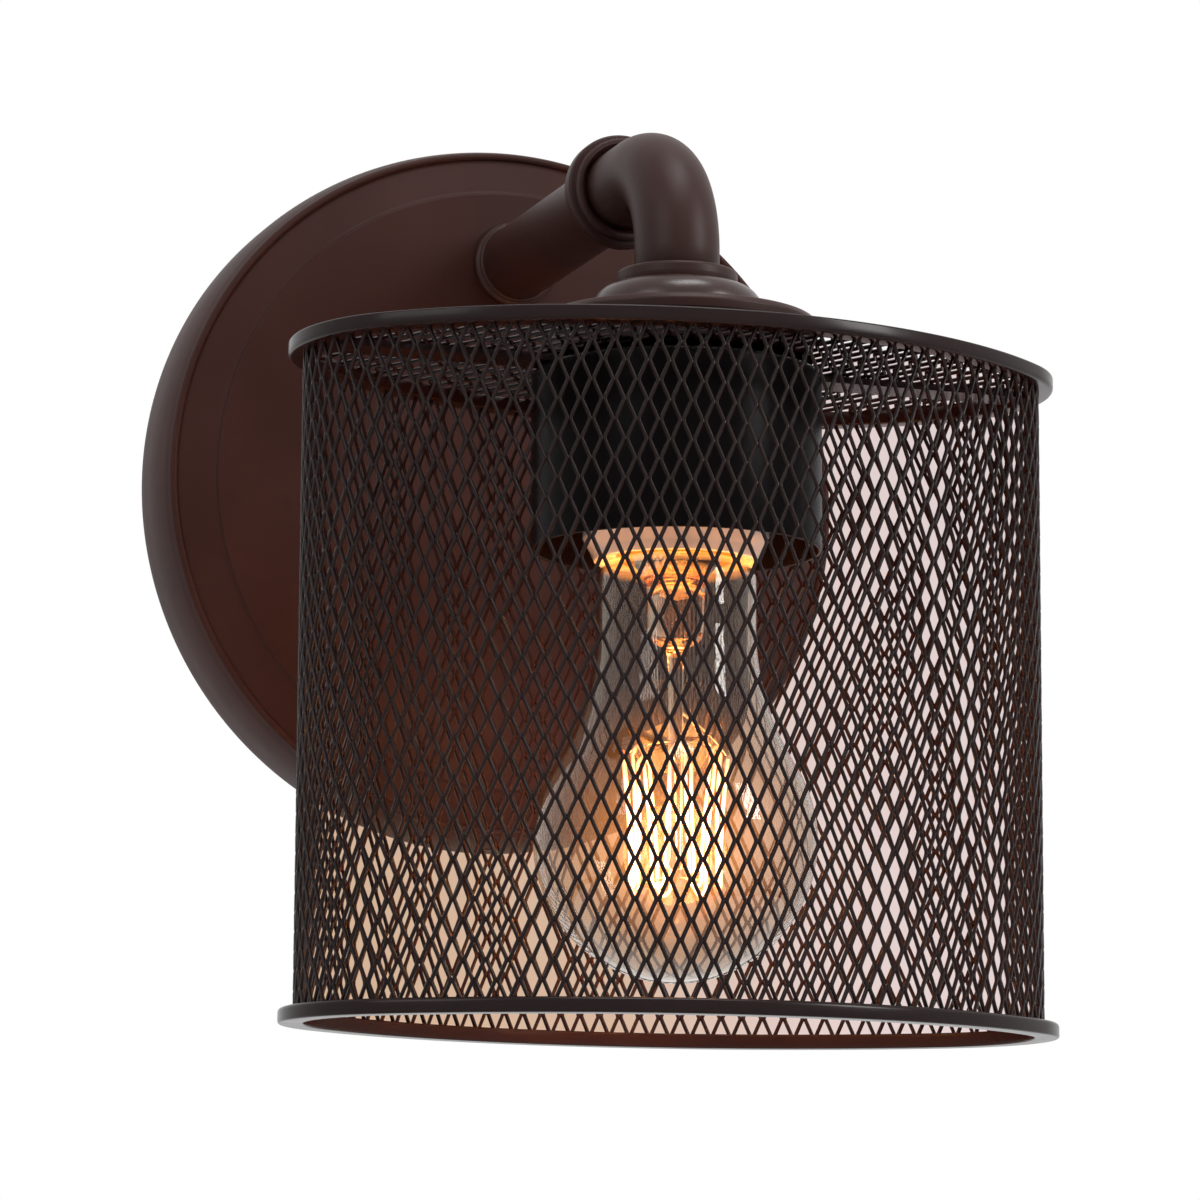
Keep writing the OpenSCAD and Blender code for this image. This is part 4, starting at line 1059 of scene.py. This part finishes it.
def end_stage_material(tree, bsdf, direct, colour, clear_mask):
    """Lit for diffuse rays, a plain colour for direct ones, see-through where the mask is 1."""
    plain = add(tree, "ShaderNodeEmission", {"Color": colour}, "Emission")
    solid = choose(tree, direct, bsdf.outputs["BSDF"], plain)
    clear = add(tree, "ShaderNodeBsdfTransparent", {}, "BSDF")
    end_material(tree, choose(tree, clear_mask, solid, clear))


def wall_material():
    """The white wall."""
    mat, tree, bsdf = new_material("wall")
    feed(tree, bsdf, {"Base Color": WALL_LIT, "Roughness": WALL_ROUGH})
    end_stage_material(tree, bsdf, seen_directly(tree), WHITE, back_or_hole(tree))
    return mat


def mix_colours(tree, share, first, second, blend="MIX"):
    """Two colours mixed. 6, 7 and 2 are the numbers of the node's colour sockets."""
    return add(tree, "ShaderNodeMix", {"Factor": share, 6: first, 7: second}, 2,
               data_type="RGBA", blend_type=blend)


def shaded_wall_material(low_x, high_x, low_z, high_z):
    """Painted shade and painted warm bulb light on the wall behind the cage: peach low on the
    left, grey pink on the right.
    """
    mat, tree, bsdf = new_material("shaded_wall")
    feed(tree, bsdf, {"Base Color": WALL_LIT, "Roughness": WALL_ROUGH})
    side = spread(tree, own_axis(tree, "X"), 0.0, 1.0, low_x, high_x)
    across = ramp(tree, side, [(0.0, (0.69, 0.47, 0.32)), (0.42, (0.72, 0.50, 0.36)),
                               (0.72, (0.83, 0.67, 0.64)), (1.0, (0.83, 0.70, 0.69))])
    level = spread(tree, own_axis(tree, "Z"), 0.0, 1.0, low_z, high_z)
    # painted shade: a little darker and bluer towards the top of the patch
    rise = ramp(tree, level, [(0.0, (0.96, 0.96, 0.96)), (1.0, (0.90, 0.93, 0.95))])
    tone = mix_colours(tree, 1.0, across, rise, "MULTIPLY")
    fade = add(tree, "ShaderNodeAttribute", {}, "Fac", attribute_name="shade")
    soft = mix_colours(tree, fade, WHITE, tone)
    end_stage_material(tree, bsdf, seen_directly(tree), soft, back_or_hole(tree))
    return mat


def floor_material():
    """A pale grey floor that turns white for direct rays away from the light."""
    mat, tree, bsdf = new_material("floor")
    tone = ramp(tree, noise(tree, 3.0), [(0.3, (0.80, 0.79, 0.78)), (0.7, (0.84, 0.83, 0.82))])
    feed(tree, bsdf, {"Base Color": tone, "Roughness": 0.8})
    far = spread(tree, flat_distance(tree, (1, 1, 0)), 0.0, 1.0, *FLOOR_CLEAR)
    paler = maths(tree, "MULTIPLY", seen_directly(tree), far)
    end_stage_material(tree, bsdf, paler, WHITE, back_side(tree))
    return mat


def shade_outline(inset):
    """Outline on the wall, as (x, z), of what the camera sees behind the side mesh."""
    eye = Vector(CAMERA_AT)
    spots = []
    whole = oval_length(inset)
    steps = 200
    for i in range(steps):
        p, _ = oval_at(whole * i / steps, inset)
        for z in (cage_bottom + 1.2, cage_top - RIM_H):
            ray = Vector(on_cage((p.x, p.y, z))) - eye
            hit = eye + ray * (-eye.y / ray.y)
            spots.append((hit.x, hit.z))
    return [spots[i] for i in convex_hull_2d(spots)]


def build_shaded_wall():
    """A patch of painted shade on the wall, full inside and fading to white over a narrow band at
    its edge.
    """
    rim = shade_outline(MESH_INSET + 0.4)
    xs, zs = zip(*rim)
    n = len(rim)
    cx, cz = sum(xs) / n, sum(zs) / n
    core = [(cx + (x - cx) * 0.975, cz + (z - cz) * 0.97) for x, z in rim]
    verts = [(x, SHADE_Y, z) for x, z in core + rim + [(cx, cz)]]
    faces = [(i, (i + 1) % n, 2 * n) for i in range(n)]
    faces += [(i, n + i, n + (i + 1) % n, (i + 1) % n) for i in range(n)]
    mat = shaded_wall_material(min(xs), max(xs), min(zs), max(zs))
    obj = stage_mesh("shaded_wall", verts, faces, mat)
    work = bmesh.new()
    work.from_mesh(obj.data)
    for face in work.faces:
        if face.normal.y > 0:
            face.normal_flip()
    work.to_mesh(obj.data)
    work.free()
    shade = obj.data.attributes.new("shade", "FLOAT", "POINT")
    for i, value in enumerate([1.0] * n + [0.0] * n + [1.0]):
        shade.data[i].value = value


def build_stage():
    w, y, z = WALL_HALF, WALL_Y, FLOOR_Z
    stage_mesh("wall", [(-w, y, z), (w, y, z), (w, y, w), (-w, y, w)], [(0, 1, 2, 3)],
               wall_material())
    stage_mesh("floor", [(-3, -4, z), (3, -4, z), (3, 3, z), (-3, 3, z)], [(0, 1, 2, 3)],
               floor_material())


# ---- lights ----

def add_light(name, kind, at, power, colour):
    data = bpy.data.lights.new(name, kind)
    data.energy = power
    data.color = colour
    obj = bpy.data.objects.new(name, data)
    bpy.context.scene.collection.objects.link(obj)
    obj.location = at
    return obj


def area_light(name, at, target, size, power, colour):
    """A flat lamp that shines on a target and that the camera doesn't see."""
    obj = add_light(name, "AREA", at, power, colour)
    obj.data.shape = "RECTANGLE"
    obj.data.size, obj.data.size_y = size
    obj.rotation_mode = "QUATERNION"
    obj.rotation_quaternion = (Vector(target) - Vector(at)).to_track_quat("-Z", "Y")
    obj.visible_camera = False


def bulb_light(name, z, power, radius, colour):
    """A small lamp on the bulb's axis that rides the bulb."""
    obj = add_light(name, "POINT", on_cage((0, 0, z)), power, colour)
    obj.data.shadow_soft_size = radius * MM
    obj.visible_transmission = False
    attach(obj, "bulb")


def build_lights():
    aim = (0.0, axis_y * MM, -0.03)
    area_light("key_left", (-1.3, -0.9, 0.75), aim, (0.7, 0.9), 6.0, (1.0, 0.98, 0.96))
    area_light("key_right", (1.15, -1.25, 0.65), aim, (0.4, 0.8), 16.0, (1.0, 0.98, 0.97))
    area_light("top", (0.1, -0.5, 1.3), aim, (0.7, 0.4), 9.0, (1.0, 1.0, 1.0))
    area_light("back", (-0.6, 1.1, 0.5), (0, 0, 0), (0.6, 0.6), 10.0, (1.0, 1.0, 1.0))
    bulb_light("bulb_light", (filament_low + filament_high) / 2, 1.1, 12.0, (1.0, 0.42, 0.11))
    bulb_light("neck_light", bulb_cap_low - 3, 0.05, 3.0, (1.0, 0.32, 0.05))


def build_world():
    """A dim sky for diffuse rays, and white wherever the background itself is seen."""
    world = bpy.data.worlds.new("studio")
    bpy.context.scene.world = world
    world.use_nodes = True
    tree = world.node_tree
    dim = tree.nodes["Background"]
    feed(tree, dim, {"Color": (0.92, 0.93, 0.95, 1), "Strength": 0.2})
    white = add(tree, "ShaderNodeBackground", {"Color": WHITE, "Strength": 1.0}, "Background")
    sky = choose(tree, seen_directly(tree), dim.outputs["Background"], white)
    feed(tree, tree.nodes["World Output"], {"Surface": sky})


build_stage()
build_shaded_wall()
build_lights()
build_world()
bpy.context.scene.view_settings.view_transform = "Standard"
